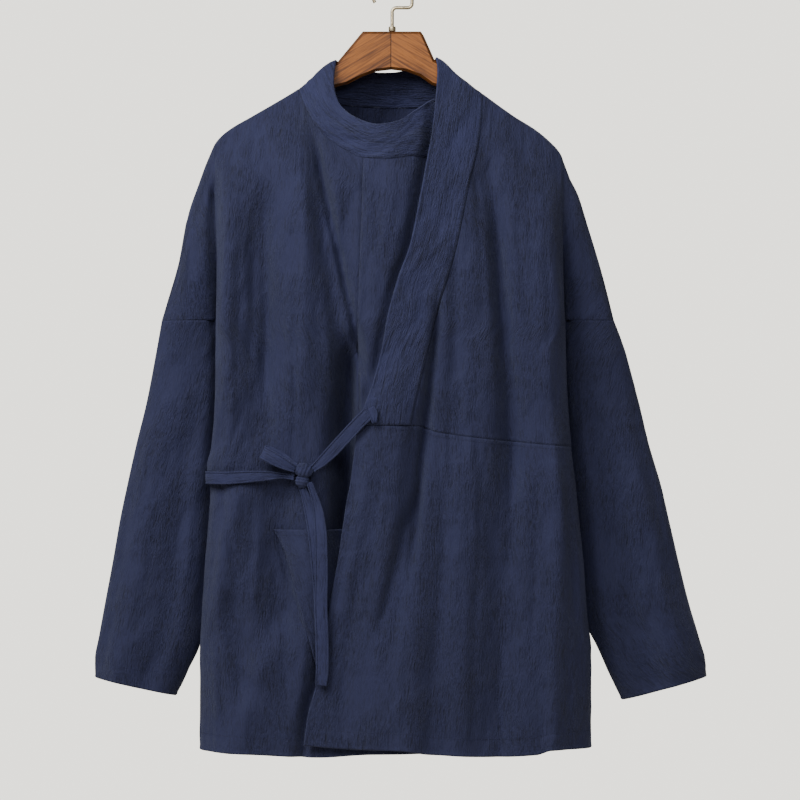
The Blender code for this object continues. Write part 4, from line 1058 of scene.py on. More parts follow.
def resting_depths(stops, trees):
    """The depth at each stop of a taut tie: clear of the cloth, and straight over its hollows."""
    depths = [
        foremost(trees, stop.x, stop.down, stop.width / 2 + TIE_MARGIN) - TIE_LIFT - TIE_WALL
        for stop in stops
    ]
    for _ in range(30):
        for i in range(1, len(depths) - 1):
            depths[i] = min(depths[i], (depths[i - 1] + depths[i + 1]) / 2)
    return depths


TAPE_PLACES = np.array((0, 0.3, 0.55, 0.65, 0.72, 0.8, 0.88, 0.94, 0.98, 1))


def tape_grid(centres, widths, facing):
    """A sewn tape along centres, with a stitched groove and a soft bead along both edges."""
    step = np.linalg.norm(np.diff(centres, axis=0), axis=1)
    lengths = np.concatenate(([0], np.cumsum(step)))
    fine = np.linspace(0, lengths[-1], max(int(lengths[-1] / 1.6), 8))
    path = np.stack([curve(list(zip(lengths, centres[:, i])))(fine) for i in range(3)], axis=-1)
    width = curve(list(zip(lengths, widths)))(fine)
    ahead = np.gradient(path, axis=0)
    ahead /= np.linalg.norm(ahead, axis=1, keepdims=True)
    out = np.stack([curve(list(zip(lengths, facing[:, i])))(fine) for i in range(3)], axis=-1)
    side = np.cross(out, ahead)
    side /= np.linalg.norm(side, axis=1, keepdims=True)
    out = np.cross(ahead, side)
    share = np.concatenate((-TAPE_PLACES[:0:-1], TAPE_PLACES))
    place = np.abs(share)
    bead = np.exp(-(((place - 0.88) / 0.09) ** 2)) - np.exp(-(((1 - place) / 0.035) ** 2))
    crown = 0.35 * (1 - place**2) + 0.55 * bead - 0.45 * np.exp(-(((place - 0.7) / 0.07) ** 2))
    wave = 0.3 * noise(fine[:, None] / 9 + 0 * share, share[None, :] * 1.4 + 0 * fine[:, None], 5)
    squeeze = np.clip((15 - width) / 8, 0, 1)[:, None] * 0.9 * np.cos(share * 2.5 * np.pi)[None, :]
    lift = crown[None, :] + wave + squeeze
    return (path[:, None] + side[:, None] * (width[:, None] / 2 * share)[..., None]
            + out[:, None] * lift[..., None])


FRONT = (0.0, -1.0, 0.0)


def build_tape(name, centres, widths, facing=FRONT, has_solid=True):
    """A tape as an object, in the place of the solid of the same name where there is one."""
    centres = np.asarray(centres, float)
    facing = np.broadcast_to(np.asarray(facing, float), centres.shape)
    grid = tape_grid(centres, widths, facing)
    GRIDS[name] = grid
    obj = sheet_object("cloth_" + name, grid, arc_maps(grid, 0), TAPE_WALL)
    finish_piece(obj, "navy tie tape", name if has_solid else None)


def line_of(stops, depths):
    """The middle line and the widths of a tape laid at these depths."""
    centres = [(stop.x, y, -stop.down) for stop, y in zip(stops, depths)]
    return centres, [stop.width for stop in stops]


# The side tie's start, round the body's edge: how far in or out, how far back, and its facing.
SIDE_TIE_START = (
    (-3.8, 33, (-1, 0, 0)), (-3.4, 23, (-1, -0.1, 0)), (1.0, 11, (-0.9, -0.5, 0)),
)
TAB_REACH = 4
KNOT_REACH = 14
LOOP_LEAN = 0.45


def build_ties():
    """The two ties, and the bow: its knot, its one loop and its two tails."""
    names = ("front_right_main", "front_right_inner", "front_left_upper", "front_left_lower",
             "collar_band", "pocket")
    trees = [tree_of(name) for name in names]
    knot_y = foremost(trees, KNOT_X, KNOT_DOWN, KNOT_REACH) - TIE_LIFT - KNOT_HALF[1]

    side = resting_depths(SIDE_TIE, trees)
    side[-1] = knot_y - TIE_WALL / 2
    first = SIDE_TIE[0]
    edge = float(right_edge(first.down))
    centres, widths = line_of(SIDE_TIE, side)
    turned = [(edge + out, side[0] + behind, -first.down) for out, behind, _ in SIDE_TIE_START]
    facing = [faces for _, _, faces in SIDE_TIE_START] + [FRONT] * len(SIDE_TIE)
    build_tape("tie_side", turned + centres, [first.width] * len(turned) + widths, facing)

    front = resting_depths(FRONT_TIE, trees)
    front[0] = knot_y - TIE_WALL / 2
    build_tape("tie_front", *line_of(FRONT_TIE, front))
    tab = [foremost(trees, stop.x, stop.down, TAB_REACH) - TIE_LIFT - 2 * TIE_WALL
           for stop in TIE_TAB]
    build_tape("tie_tab", *line_of(TIE_TAB, tab), has_solid=False)

    far = resting_depths(FAR_TAIL, trees)
    far[0] = knot_y + 0.8
    build_tape("tie_tail_far", *line_of(FAR_TAIL, far))
    far_y = curve([(stop.down, y) for stop, y in zip(FAR_TAIL, far)])
    near = [
        min(y, float(far_y(stop.down))) - TIE_WALL - TAIL_SPACING
        for stop, y in zip(NEAR_TAIL, resting_depths(NEAR_TAIL, trees))
    ]
    near[0] = knot_y - TIE_WALL - 0.4
    build_tape("tie_tail_near", *line_of(NEAR_TAIL, near))

    centres = np.array([(point.x, knot_y + point.y, -point.down) for point in LOOP])
    lean = np.array((LOOP_LEAN, 0, 1)) / math.hypot(LOOP_LEAN, 1)
    facing = np.cross(lean, np.gradient(centres, axis=0))
    facing /= np.linalg.norm(facing, axis=1, keepdims=True)
    build_tape("tie_loop", centres, [point.width for point in LOOP], facing)
    build_knot(knot_y)


# The knot's two wraps: centre from the knot's own, half sizes and tilt.
Wrap = namedtuple("Wrap", "centre half tilt")
KNOT_WRAPS = (
    Wrap((0.4, -0.6, 5.6), (10.4, 7.0, 8.6), -16), Wrap((-1.0, 0.6, -6.4), (8.0, 5.8, 8.2), 4),
)


def reach_of(wrap, towards):
    """How far a wrap's surface lies from the knot's centre in each direction."""
    turn = math.radians(wrap.tilt)
    level = np.array([[math.cos(turn), 0, -math.sin(turn)], [0, 1, 0],
                      [math.sin(turn), 0, math.cos(turn)]])
    ray = (towards @ level) / wrap.half
    start = (-np.array(wrap.centre) @ level) / wrap.half
    square, half, rest = (ray**2).sum(-1), (ray * start).sum(-1), (start**2).sum() - 1
    return (np.sqrt(half**2 - square * rest) - half) / square


def build_knot(knot_y):
    """The bow's knot: a slanting wrap over a level one, with the folds of the tape round them."""
    turn = np.radians(np.linspace(0, 360, 64, endpoint=False))[None, :]
    rise = np.radians(np.linspace(90, -90, 46))[:, None]
    towards = np.stack((np.cos(rise) * np.cos(turn), np.cos(rise) * np.sin(turn),
                        np.sin(rise) + 0 * turn), axis=-1)
    upper, lower = (reach_of(wrap, towards) for wrap in KNOT_WRAPS)
    reach = np.maximum(upper, lower)
    x, z = reach * towards[..., 0], reach * towards[..., 2]
    fade = smooth(np.cos(rise) / 0.3)
    slanting = 0.45 * np.cos((0.93 * x - 0.36 * z) * 1.5 + 0.4 * np.sin(z / 2))
    level = 0.45 * np.cos(z * 1.7 + 0.25 * x)
    reach = reach + fade * np.where(upper > lower, slanting, level)
    grid = np.array((KNOT_X, knot_y, -KNOT_DOWN)) + reach[..., None] * towards
    maps = arc_maps(np.concatenate((grid, grid[:, :1]), axis=1), 0)
    obj = sheet_object("cloth_tie_knot", grid, maps, KNOT_WALL, closed=True, poles=True)
    finish_piece(obj, "navy tie tape", "tie_knot")


# A stitch: a lozenge of thread, by its place along, across and out.
STITCH_POINTS = np.array(
    [(-1, 0, 0)]
    + [(place, *corner) for place in (-0.55, 0.55) for corner in ((0, 1), (1, 0), (0, -1), (-1, 0))]
    + [(1, 0, 0)],
    float,
)
STITCH_FACES = (
    [(0, 1 + (k + 1) % 4, 1 + k) for k in range(4)]
    + [(9, 5 + k, 5 + (k + 1) % 4) for k in range(4)]
)
STITCH_SIDES = [(1 + k, 1 + (k + 1) % 4, 5 + (k + 1) % 4, 5 + k) for k in range(4)]


def track(grid, rows, columns, closed=False):
    """Points and outward normals on a grid at fractional rows and columns."""
    normals = normals_of(grid, closed)
    rows, columns = np.broadcast_arrays(np.asarray(rows, float), np.asarray(columns, float))
    low_row = np.clip(np.floor(rows).astype(int), 0, grid.shape[0] - 2)
    low_column = np.clip(np.floor(columns).astype(int), 0, grid.shape[1] - 2)
    part_row, part_column = (rows - low_row)[:, None], (columns - low_column)[:, None]

    def at(values):
        high = mix(values[low_row, low_column], values[low_row, low_column + 1], part_column)
        low = mix(values[low_row + 1, low_column], values[low_row + 1, low_column + 1], part_column)
        return mix(high, low, part_row)

    points, out = at(grid), at(normals)
    whole = ~np.isnan(points[:, 0])
    return points[whole], out[whole]


def stitch_rows(points, out, sewing):
    """The vertices of the stitches along one run."""
    pitch, length = sewing.pitch / MM, sewing.length / MM
    radius = sewing.radius / MM
    step = np.linalg.norm(np.diff(points, axis=0), axis=1)
    lengths = np.concatenate(([0], np.cumsum(step)))
    if lengths[-1] < 3 * pitch:
        return np.zeros((0, 10, 3))
    places = np.arange(pitch, lengths[-1] - pitch, pitch)

    def at(values, place):
        return np.stack([np.interp(place, lengths, values[:, i]) for i in range(3)], axis=-1)

    centre = at(points, places)
    ahead = at(points, places + 0.8) - at(points, places - 0.8)
    ahead /= np.linalg.norm(ahead, axis=1, keepdims=True)
    normal = at(out, places)
    normal -= ahead * (normal * ahead).sum(axis=1, keepdims=True)
    normal /= np.linalg.norm(normal, axis=1, keepdims=True)
    side = np.cross(ahead, normal)
    along, across, up = STITCH_POINTS.T
    return (
        (centre + normal * 0.12)[:, None]
        + ahead[:, None] * (along * length / 2)[None, :, None]
        + side[:, None] * (across * radius)[None, :, None]
        + normal[:, None] * (up * radius)[None, :, None]
    )


def sew(name, runs, sewing):
    """One object of all the stitches along some runs."""
    stitches = np.concatenate([stitch_rows(points, out, sewing) for points, out in runs])
    first = np.arange(len(stitches))[:, None, None] * 10
    ends = (np.array(STITCH_FACES)[None] + first).reshape(-1, 3)
    sides = (np.array(STITCH_SIDES)[None] + first).reshape(-1, 4)
    mesh = bpy.data.meshes.new(name)
    mesh.from_pydata((stitches.reshape(-1, 3) * MM).tolist(), [], ends.tolist() + sides.tolist())
    mesh.shade_smooth()
    finish_piece(object_in_scene(name, mesh), "navy thread")


def row_above(grid, distance, column):
    """The fractional row at a distance above a grid's last row."""
    down = -grid[:, column, 2]
    return np.interp(down[-1] - distance, down, np.arange(len(down)))


def hem_run(name, distance, closed=False):
    """A run along a grid at a distance above its last row."""
    grid = GRIDS[name]
    columns = np.arange(grid.shape[1])
    columns = columns[~np.isnan(grid[-1, columns, 0])]
    rows = np.array([row_above(grid, distance, column) for column in columns])
    return track(grid, rows, columns.astype(float), closed)


def top_run(name, distance, length):
    """A run along a grid at a distance below its first row, by the grid's length."""
    grid = GRIDS[name]
    rows = np.full(grid.shape[1], distance / (length / len(grid)))
    return track(grid, rows, np.arange(grid.shape[1]).astype(float))


def column_run(name, distance, from_end=False):
    """A run down a grid at a distance from its first or last column."""
    grid = GRIDS[name]
    across = grid_across(grid)
    if from_end:
        across = across[:, -1:] - across
    columns = []
    for row in across:
        order = np.argsort(row)
        columns.append(np.interp(distance, row[order], np.arange(len(row))[order]))
    return track(grid, np.arange(len(grid)).astype(float), np.array(columns))


def build_sewing(sewing):
    """Every line of stitches that shows: hems, cuffs, band seam, waist seam, pocket and ties."""
    fronts = [hem_run(name, HEM_DEPTH) for name in
              ("front_right_main", "front_right_inner", "front_left_lower")]
    fronts += [
        hem_run("pocket", POCKET_STITCH),
        column_run("pocket", POCKET_STITCH),
        column_run("front_left_lower", LAP_STITCH),
        top_run("front_left_lower", WAIST_TOPSTITCH, LAP_LENGTH),
        hem_run("front_left_upper", WAIST_STITCH),
        top_run("pocket", POCKET_HEM, POCKET_LENGTH),
    ]
    sew("sewing_fronts", fronts, sewing)
    sew("sewing_back", [hem_run("back", HEM_DEPTH)], sewing)
    sew("sewing_cuffs", [hem_run(name, CUFF_DEPTH, closed=True)
                         for name in ("sleeve_right", "sleeve_left")], sewing)
    sew("sewing_band", [column_run("collar_band", inset) for inset in BAND_STITCHES], sewing)
    tapes = ("tie_side", "tie_front", "tie_tail_near", "tie_tail_far", "tie_loop")
    ties = [column_run(name, TIE_STITCH, from_end) for name in tapes for from_end in (False, True)]
    sew("sewing_ties", ties, sewing)


# The cut of each cloth piece: its flat width and length, and its area where it isn't a rectangle.
Cut = namedtuple("Cut", "width length area rests_on pieces")


class Wire:
    """A shader socket that arithmetic joins to new nodes in its tree."""

    def __init__(self, tree, socket):
        self.tree = tree
        self.socket = socket

    def node(self, kind, inputs, output=0, **settings):
        made = self.tree.nodes.new(kind)
        for name, value in settings.items():
            setattr(made, name, value)
        for key, value in inputs.items():
            if isinstance(value, Wire):
                self.tree.links.new(value.socket, made.inputs[key])
            else:
                made.inputs[key].default_value = value
        return Wire(self.tree, made.outputs[output])

    def math(self, operation, first, second=0.0):
        return self.node("ShaderNodeMath", {0: first, 1: second}, operation=operation)

    def __add__(self, other):
        return self.math("ADD", self, other)

    def __radd__(self, other):
        return self.math("ADD", other, self)

    def __sub__(self, other):
        return self.math("SUBTRACT", self, other)

    def __rsub__(self, other):
        return self.math("SUBTRACT", other, self)

    def __mul__(self, other):
        return self.math("MULTIPLY", self, other)

    def __rmul__(self, other):
        return self.math("MULTIPLY", other, self)

    def __truediv__(self, other):
        return self.math("DIVIDE", self, other)

    def __rtruediv__(self, other):
        return self.math("DIVIDE", other, self)

    def absolute(self):
        return self.math("ABSOLUTE", self)

    def parts(self):
        """The x, y and z of a vector."""
        split = self.node("ShaderNodeSeparateXYZ", {0: self}).socket.node
        return [Wire(self.tree, part) for part in split.outputs]

    def scaled(self, factors):
        return self.node("ShaderNodeVectorMath", {0: self, 1: factors}, operation="MULTIPLY")

    def noise(self, factors, detail=2.0, roughness=0.5):
        return self.node("ShaderNodeTexNoise", {"Vector": self.scaled(factors), "Scale": 1.0,
                                                "Detail": detail, "Roughness": roughness})

    def between(self, low, high):
        """0 at low, 1 at high and smooth between them."""
        return self.node("ShaderNodeMapRange", {"Value": self, 1: low, 2: high, 3: 0.0, 4: 1.0},
                         interpolation_type="SMOOTHSTEP")

    def colors(self, first, second):
        """A colour between two, by this socket, where either may be a wire."""
        return self.node("ShaderNodeMix", {"Factor": self, 6: first, 7: second}, output=2,
                         data_type="RGBA")

    def bump(self, height, distance, strength=1.0, **more):
        return self.node("ShaderNodeBump", {"Height": height, "Distance": distance,
                                            "Strength": strength, **more})


def new_material(name, roughness, **constants):
    """A material, its node tree and its shader with these values."""
    made = bpy.data.materials.new(name)
    made.use_nodes = True
    tree = made.node_tree
    shader = tree.nodes["Principled BSDF"]
    shader.inputs["Roughness"].default_value = roughness
    for key, value in constants.items():
        shader.inputs[key.replace("_", " ")].default_value = value
    return made, tree, shader


def source(tree, kind, output, **settings):
    """A wire from a node that takes nothing in."""
    node = tree.nodes.new(kind)
    for name, value in settings.items():
        setattr(node, name, value)
    return Wire(tree, node.outputs[output])


def join(wire, shader, key):
    wire.tree.links.new(wire.socket, shader.inputs[key])


def rgba(color, gain=1.0):
    return (*(channel * gain for channel in color), 1)


def cloth_material(name, navy, settings, crinkle_bump, run):
    """Navy cotton crepe: a plain weave, slubs lengthwise, and a fine lengthwise crinkle, with painted
    shade in the crinkle's low places and painted light along its ridges.
    """
    made, tree, shader = new_material(
        name, 0.82, Specular_IOR_Level=0.3, Sheen_Weight=settings.sheen, Sheen_Roughness=0.4,
        Sheen_Tint=(0.55, 0.62, 0.95, 1),
    )
    uv = source(tree, "ShaderNodeUVMap", 0, uv_map="cloth")
    mottle = uv.noise((22, 9, 1), 3, 0.6)
    slub = uv.noise((900, 45, 1), 2, 0.6)
    crinkles = uv.noise((300, run, 1), 3, 0.65)
    fold = 1 - (crinkles - 0.5).absolute() * 2
    small = uv.noise((560, 190, 1), 2, 0.6)
    patch = uv.noise((26, 14, 1), 2, 0.5).between(0.36, 0.6)
    warp, weft = (
        uv.node("ShaderNodeTexWave", {"Vector": uv, "Scale": scale, "Distortion": 1.2, "Detail": 1.0},
                bands_direction=direction)
        for scale, direction in ((520.0, "X"), (430.0, "Y"))
    )
    # Painted shade mask: the crinkle's low places, in patches.
    valley_shade = fold.between(0.98, 0.62) * patch
    # Mottle and slub are the cloth's own tone; the fold term is a painted highlight, lighter along the
    # crinkle's ridges.
    shade = mottle * 0.3 + slub * 0.3 + fold * 0.4
    color = shade.between(0.36, 0.74).colors(rgba(navy, 0.6), rgba(navy, 1.5))
    # Painted shade: those low places are darkened towards 0.45 of the navy.
    color = (valley_shade * 0.35).colors(color, rgba(navy, 0.45))
    join(color, shader, "Base Color")
    join(0.74 + slub * 0.16, shader, "Roughness")
    weave = uv.bump(warp + weft + slub * 1.5, 0.00012, 0.5)
    height = fold * (0.3 + patch * 0.7) + small * (0.25 + patch * 0.35)
    bumped = uv.bump(height, crinkle_bump, 1.0, Normal=weave)
    join(bumped, shader, "Normal")
    return made


def thread_material(navy):
    made, tree, shader = new_material("navy thread", 0.55, Specular_IOR_Level=0.4)
    place = source(tree, "ShaderNodeTexCoord", "Object")
    twist = place.noise((1800, 1800, 1800), 1, 0.5)
    join(twist.colors(rgba(navy, 0.9), rgba(navy, 1.7)), shader, "Base Color")
    return made


# The hanger's middle joint, in metres left of the hook from in front, and the grain's slope.
WOOD_SEAM, GRAIN_SLOPE = 0.0014, 31


def wood_material(light, dark):
    """Two boards joined at the middle, each with its grain slanting down and out, and painted shade
    on the faces turned away from the front.
    """
    made, tree, shader = new_material("oiled beech", 0.42, Specular_IOR_Level=0.3, Coat_Weight=0.06,
                                      Coat_Roughness=0.3)
    place = source(tree, "ShaderNodeTexCoord", "Object")
    x, y, z = place.parts()
    from_seam = x + WOOD_SEAM
    aside = from_seam.absolute()
    slope = math.radians(GRAIN_SLOPE)
    along = aside * math.cos(slope) - z * math.sin(slope)
    across = aside * math.sin(slope) + z * math.cos(slope)
    half = from_seam.math("SIGN", from_seam) * 0.31

    def grained(length, width, depth, detail):
        grain_place = place.node("ShaderNodeCombineXYZ", {0: length, 1: width, 2: depth})
        return grain_place.noise((1, 1, 1), detail, 0.6)

    grain = grained(along * 16 + half, across * 420, y * 90, 4)
    pore = grained(along * 90, across * 1700, y * 900, 2).between(0.56, 0.7)
    mottle = place.noise((18, 18, 18), 2, 0.5)
    tone = (grain * 0.75 + mottle * 0.25 + half * 0.1).between(0.33, 0.64)
    seam = aside.between(0.0009, 0.0002)
    # Painted shade mask: faces turned away from the front, the chamfers, edges and top, by their
    # normal.
    normal_y = source(tree, "ShaderNodeNewGeometry", "Normal").parts()[1]
    bevel = normal_y.absolute().between(0.97, 0.55)
    color = tone.colors(rgba(dark), rgba(light))
    color = (pore * 0.35).colors(color, rgba(dark, 0.6))
    color = (seam * 0.75).colors(color, rgba(dark, 0.25))
    # Painted shade: the turned-away faces darkened towards 0.3 of the dark wood.
    color = (bevel * 0.95).colors(color, rgba(dark, 0.3))
    join(color, shader, "Base Color")
    join(0.36 + grain * 0.16 + pore * 0.15, shader, "Roughness")
    join(place.bump(grain * 0.5 - pore * 0.6 - seam * 2.0, 0.00015, 0.7), shader, "Normal")
    return made


def metal_material(color):
    made, tree, shader = new_material("old brass wire", 0.34, Metallic=1.0)
    place = source(tree, "ShaderNodeTexCoord", "Object")
    stain = place.noise((160, 160, 160), 3, 0.6)
    draw = place.noise((2600, 2600, 400), 2, 0.5)
    join(stain.between(0.35, 0.65).colors(rgba(color, 0.72), rgba(color, 1.1)), shader, "Base Color")
    join(0.24 + stain * 0.22 + draw * 0.08, shader, "Roughness")
    join(place.bump(draw, 0.00004, 0.5), shader, "Normal")
    return made


# The cloths: how light each is, how high its crinkle, and how many creases lie along a metre. The
# band and the tapes are the same navy cloth painted lighter, a painted light.
CLOTHS = {
    "navy crinkled cloth": (1, 1, 48), "navy band cloth": (1.3, 1.9, 20),
    "navy tie tape": (1.25, 0.4, 48),
}


def material(name):
    """A material by name, made the first time it is asked for."""
    if name in bpy.data.materials:
        return bpy.data.materials[name]
    look = bpy.context.scene.jacket_look
    if name in CLOTHS:
        gain, bump, run = CLOTHS[name]
        # A gain above 1 paints the band and the tapes lighter than the same navy, a painted light.
        navy = [channel * gain for channel in look.navy]
        return cloth_material(name, navy, look, look.crinkle_bump * bump, run)
    if name == "navy thread":
        return thread_material(look.navy)
    if name == "oiled beech":
        return wood_material(look.wood_light, look.wood_dark)
    return metal_material(look.metal)


TURN_RIGHT = -90


def build_hook():
    """The wire hook, extruded along its bends, and the collar that it stands in."""
    bpy.ops.object.select_all(action="DESELECT")
    bpy.ops.mesh.primitive_circle_add(vertices=20, radius=0.002, fill_type="NGON",
                                      location=(0, 0, -0.0657))
    obj = bpy.context.active_object
    obj.name = "wire_hook"
    bpy.ops.object.transform_apply(location=True, rotation=True, scale=True)
    bpy.ops.object.mode_set(mode="EDIT")
    bpy.ops.mesh.select_all(action="SELECT")

    def forward(x, z):
        bpy.ops.mesh.extrude_region_move(TRANSFORM_OT_translate={"value": (x, 0, z)})

    def around(x, z, degrees, steps):
        for _ in range(steps):
            bpy.ops.mesh.extrude_region_move(TRANSFORM_OT_translate={"value": (0, 0, 0)})
            bpy.ops.transform.rotate(value=math.radians(degrees / steps), orient_axis="Y",
                                     orient_type="GLOBAL", center_override=(x, 0, z))

    forward(0, 0.0222)
    around(0.005, -0.0435, TURN_RIGHT, 6)
    forward(0.013, 0)
    around(0.018, -0.0335, -TURN_RIGHT, 6)
    forward(0, 0.0125)
    around(0, -0.021, -TURN_RIGHT / 90 * 210, 36)
    bpy.ops.mesh.select_all(action="SELECT")
    bpy.ops.mesh.normals_make_consistent(inside=False)
    bpy.ops.object.mode_set(mode="OBJECT")
    bpy.ops.object.shade_smooth_by_angle(angle=math.radians(40))
    finish_piece(obj, "old brass wire", "hanger_hook")

    bpy.ops.object.select_all(action="DESELECT")
    bpy.ops.mesh.primitive_cylinder_add(vertices=40, radius=0.0042, depth=0.0055,
                                        location=(0, 0, -0.06295))
    collar = bpy.context.active_object
    collar.name = "wire_collar"
    bpy.ops.object.transform_apply(location=True, rotation=True, scale=True)
    bevel = collar.modifiers.new("edges", "BEVEL")
    bevel.width = 0.0007
    bevel.segments = 3
    bpy.ops.object.modifier_apply(modifier="edges")
    bpy.ops.object.shade_smooth_by_angle(angle=math.radians(40))
    finish_piece(collar, "old brass wire", "hanger_ferrule")


def build_hanger():
    """The wooden hanger keeps its solid's form and takes its wood."""
    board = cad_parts["hanger_body"]
    for slot in board.material_slots:
        slot.material = material("oiled beech")
    build_hook()


# The camera's place, the width that it sees at the fronts, and how far forward they lie, in metres.
CAMERA_X, CAMERA_DOWN, VIEW_WIDTH, FRONTS_FORWARD = 0.009, 0.492, 0.92, 0.03


def build_stage(stage):
    """A pale floor and room, three soft lights and the camera."""
    bpy.ops.object.select_all(action="DESELECT")
    bpy.ops.mesh.primitive_circle_add(vertices=96, radius=stage.floor_radius, fill_type="NGON",
                                      location=(0, 0, -stage.floor_drop))
    floor = bpy.context.active_object
    floor.name = "floor"
    made, tree, shader = new_material("pale floor", 0.9)
    shader.inputs["Base Color"].default_value = rgba(stage.wall_color)
    floor.data.materials.append(made)
    world = bpy.data.worlds.new("pale room")
    world.use_nodes = True
    background = world.node_tree.nodes["Background"]
    background.inputs["Color"].default_value = rgba(stage.wall_color)
    path = source(world.node_tree, "ShaderNodeLightPath", 0)
    seen = stage.room_light + path * (stage.wall_light - stage.room_light)
    join(seen, background, "Strength")
    bpy.context.scene.world = world
    for name, place, size, power in (
        ("key light", (-1.15, -1.4, 0.95), 1.2, stage.key_light),
        ("front light", (0.1, -2.6, 0.75), 0.9, stage.front_light),
        ("far light", (0.9, 3.2, 1.2), 2.0, stage.far_light),
    ):
        bpy.ops.object.light_add(type="AREA", location=place)
        light = bpy.context.active_object
        light.name = name
        light.data.energy = power
        light.data.size = size
        light.visible_camera = False
        aim = Vector((0, 0, -0.5)) - Vector(place)
        light.rotation_euler = aim.to_track_quat("-Z", "Y").to_euler()
    bpy.ops.object.camera_add(location=(CAMERA_X, -stage.camera_distance, -CAMERA_DOWN),
                              rotation=(math.radians(90), 0, 0))
    camera = bpy.context.active_object
    reach = stage.camera_distance - FRONTS_FORWARD
    camera.data.lens = camera.data.sensor_width * reach / VIEW_WIDTH
    bpy.context.scene.camera = camera


class JacketClothSettings(bpy.types.PropertyGroup):
    """Sizes of the cloth's sheets and of their crinkle."""

    step: FloatProperty(name="Grid step", description="Distance between a sheet's points",
                        default=0.003, min=0.001, unit="LENGTH")
    wall: FloatProperty(name="Cloth thickness", description="Thickness of one layer of cloth",
                        default=0.0012, min=0.0004, unit="LENGTH")
    crinkle_height: FloatProperty(name="Crinkle height", description="Height of the fine creases",
                                  default=0.0006, unit="LENGTH")
    crinkle_width: FloatProperty(name="Crinkle width", description="Width of a fine crease",
                                 default=0.0075, min=0.002, unit="LENGTH")
    crinkle_length: FloatProperty(name="Crinkle length", description="Length of a fine crease",
                                  default=0.036, min=0.005, unit="LENGTH")


class JacketSewingSettings(bpy.types.PropertyGroup):
    """Sizes of the stitches."""

    pitch: FloatProperty(name="Stitch pitch", description="Distance from one stitch to the next",
                         default=0.0032, min=0.001, unit="LENGTH")
    length: FloatProperty(name="Stitch length", description="Length of the thread that shows",
                          default=0.0024, unit="LENGTH")
    radius: FloatProperty(name="Thread radius", description="Half the thread's thickness",
                          default=0.00026, unit="LENGTH")


class JacketLookSettings(bpy.types.PropertyGroup):
    """Colours and finish."""

    navy: FloatVectorProperty(name="Cloth colour", description="Colour of the dyed cloth", size=3,
                              default=(0.0124, 0.0144, 0.0415), subtype="COLOR", min=0, max=1)
    sheen: FloatProperty(name="Sheen", description="Soft sheen of the cloth's nap",
                         default=0.1, min=0, max=1, subtype="FACTOR")
    crinkle_bump: FloatProperty(name="Crinkle relief", description="Height of the finest creases",
                                default=0.0026, unit="LENGTH")
    wood_light: FloatVectorProperty(name="Light wood", description="Lighter tone of the hanger",
                                    size=3, default=(0.33, 0.110, 0.020), subtype="COLOR")
    wood_dark: FloatVectorProperty(name="Dark wood", description="Darker tone of the hanger",
                                   size=3, default=(0.075, 0.022, 0.005), subtype="COLOR")
    metal: FloatVectorProperty(name="Wire colour", description="Colour of the hook's metal",
                               size=3, default=(0.56, 0.47, 0.32), subtype="COLOR")


class JacketStageSettings(bpy.types.PropertyGroup):
    """Floor, lights and camera."""

    wall_color: FloatVectorProperty(name="Room colour", description="Colour of floor and room",
                                    size=3, default=(0.72, 0.70, 0.64), subtype="COLOR")
    room_light: FloatProperty(name="Room light", description="Strength of the light all round",
                              default=0.4, min=0)
    wall_light: FloatProperty(name="Wall light", description="Brightness of the room as it is seen",
                              default=3.0, min=0)
    key_light: FloatProperty(name="Key light", description="Power of the light at the upper left",
                             default=62.0, min=0, unit="POWER")
    front_light: FloatProperty(name="Front light", description="Power of the wide light in front",
                               default=24.0, min=0, unit="POWER")
    far_light: FloatProperty(name="Far light", description="Power of the light behind",
                             default=70.0, min=0, unit="POWER")
    floor_drop: FloatProperty(name="Floor drop", description="Distance from the hook to the floor",
                              default=1.75, unit="LENGTH")
    floor_radius: FloatProperty(name="Floor radius", description="Radius of the round floor",
                                default=5.0, unit="LENGTH")
    camera_distance: FloatProperty(name="Camera distance", description="Distance to the camera",
                                   default=5.5, unit="LENGTH")


class JACKET_OT_fronts(bpy.types.Operator):
    """Makes the two fronts: main, inner, upper and lower panels"""

    bl_idname = "jacket.fronts"
    bl_label = "Fronts"

    def execute(self, context):
        build_front_right(context.scene.jacket_cloth)
        build_overlap(context.scene.jacket_cloth)
        return {"FINISHED"}


class JACKET_OT_back(bpy.types.Operator):
    """Makes the back panel"""

    bl_idname = "jacket.back"
    bl_label = "Back"

    def execute(self, context):
        build_back(context.scene.jacket_cloth)
        return {"FINISHED"}


class JACKET_OT_band(bpy.types.Operator):
    """Makes the collar band"""

    bl_idname = "jacket.band"
    bl_label = "Collar band"

    def execute(self, context):
        build_band(context.scene.jacket_cloth)
        return {"FINISHED"}


class JACKET_OT_sleeves(bpy.types.Operator):
    """Makes both sleeves"""

    bl_idname = "jacket.sleeves"
    bl_label = "Sleeves"

    def execute(self, context):
        settings = context.scene.jacket_cloth
        build_sleeve("right", RIGHT_SLEEVE, RIGHT_SLEEVE_CREASES, settings)
        build_sleeve("left", LEFT_SLEEVE, LEFT_SLEEVE_CREASES, settings)
        return {"FINISHED"}


class JACKET_OT_pocket(bpy.types.Operator):
    """Makes the patch pocket on the right front"""

    bl_idname = "jacket.pocket"
    bl_label = "Pocket"

    def execute(self, context):
        build_pocket(context.scene.jacket_cloth)
        return {"FINISHED"}


class JACKET_OT_ties(bpy.types.Operator):
    """Makes the two ties with their bow"""

    bl_idname = "jacket.ties"
    bl_label = "Ties and bow"

    def execute(self, context):
        build_ties()
        return {"FINISHED"}


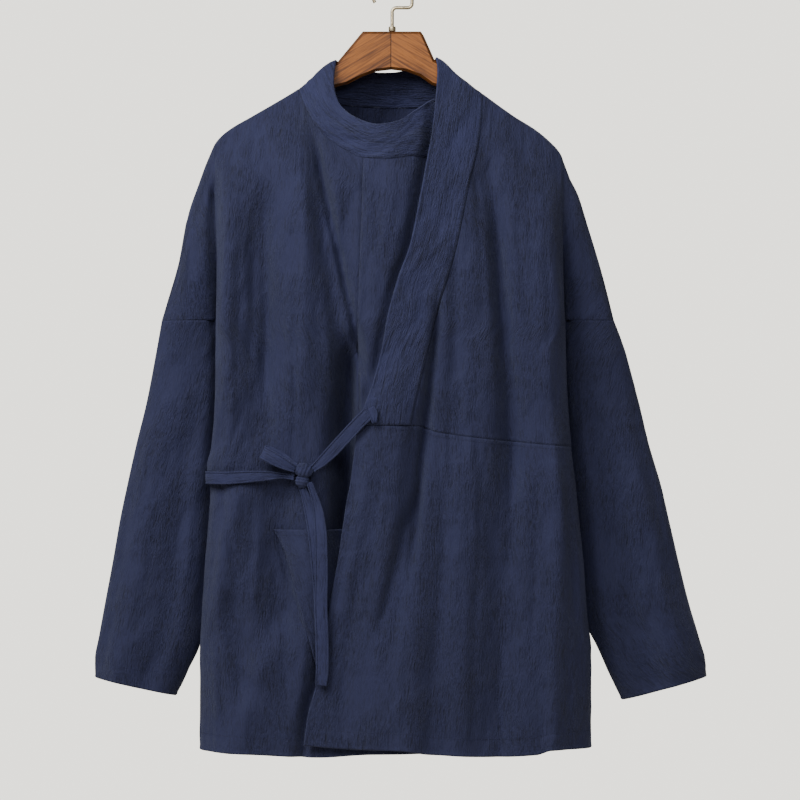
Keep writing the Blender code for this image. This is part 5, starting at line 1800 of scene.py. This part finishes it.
class JACKET_OT_sewing(bpy.types.Operator):
    """Sews the hems, seams, pocket and ties"""

    bl_idname = "jacket.sewing"
    bl_label = "Sewing"

    def execute(self, context):
        build_sewing(context.scene.jacket_sewing)
        return {"FINISHED"}


class JACKET_OT_hanger(bpy.types.Operator):
    """Makes the hanger's wood, wire hook and metal collar"""

    bl_idname = "jacket.hanger"
    bl_label = "Hanger"

    def execute(self, context):
        build_hanger()
        return {"FINISHED"}


class JACKET_OT_stage(bpy.types.Operator):
    """Sets the floor, the lights and the camera"""

    bl_idname = "jacket.stage"
    bl_label = "Stage"

    def execute(self, context):
        build_stage(context.scene.jacket_stage)
        return {"FINISHED"}


STEPS = ("fronts", "back", "band", "sleeves", "pocket", "ties", "sewing", "hanger", "stage")


class JACKET_PT_sidebar(bpy.types.Panel):
    """The jacket's sizes, colours and steps"""

    bl_idname = "JACKET_PT_sidebar"
    bl_label = "Wrap jacket"
    bl_space_type = "VIEW_3D"
    bl_region_type = "UI"
    bl_category = "Jacket"

    def draw(self, context):
        for name in SETTINGS:
            group = getattr(context.scene, name)
            for key in group.bl_rna.properties.keys():
                if key not in ("rna_type", "name"):
                    self.layout.prop(group, key)
        for step in STEPS:
            self.layout.operator("jacket." + step)


SETTINGS = {
    "jacket_cloth": JacketClothSettings,
    "jacket_sewing": JacketSewingSettings,
    "jacket_look": JacketLookSettings,
    "jacket_stage": JacketStageSettings,
}
OPERATORS = (
    JACKET_OT_fronts, JACKET_OT_back, JACKET_OT_band, JACKET_OT_sleeves, JACKET_OT_pocket,
    JACKET_OT_ties, JACKET_OT_sewing, JACKET_OT_hanger, JACKET_OT_stage,
)


def register():
    for name, group in SETTINGS.items():
        bpy.utils.register_class(group)
        setattr(bpy.types.Scene, name, PointerProperty(type=group))
    for made in (*OPERATORS, JACKET_PT_sidebar):
        bpy.utils.register_class(made)


def unregister():
    for made in (JACKET_PT_sidebar, *reversed(OPERATORS)):
        bpy.utils.unregister_class(made)
    for name, group in reversed(SETTINGS.items()):
        delattr(bpy.types.Scene, name)
        bpy.utils.unregister_class(group)


def main():
    register()
    for step in STEPS:
        getattr(bpy.ops.jacket, step)()


if __name__ == "__main__":
    main()
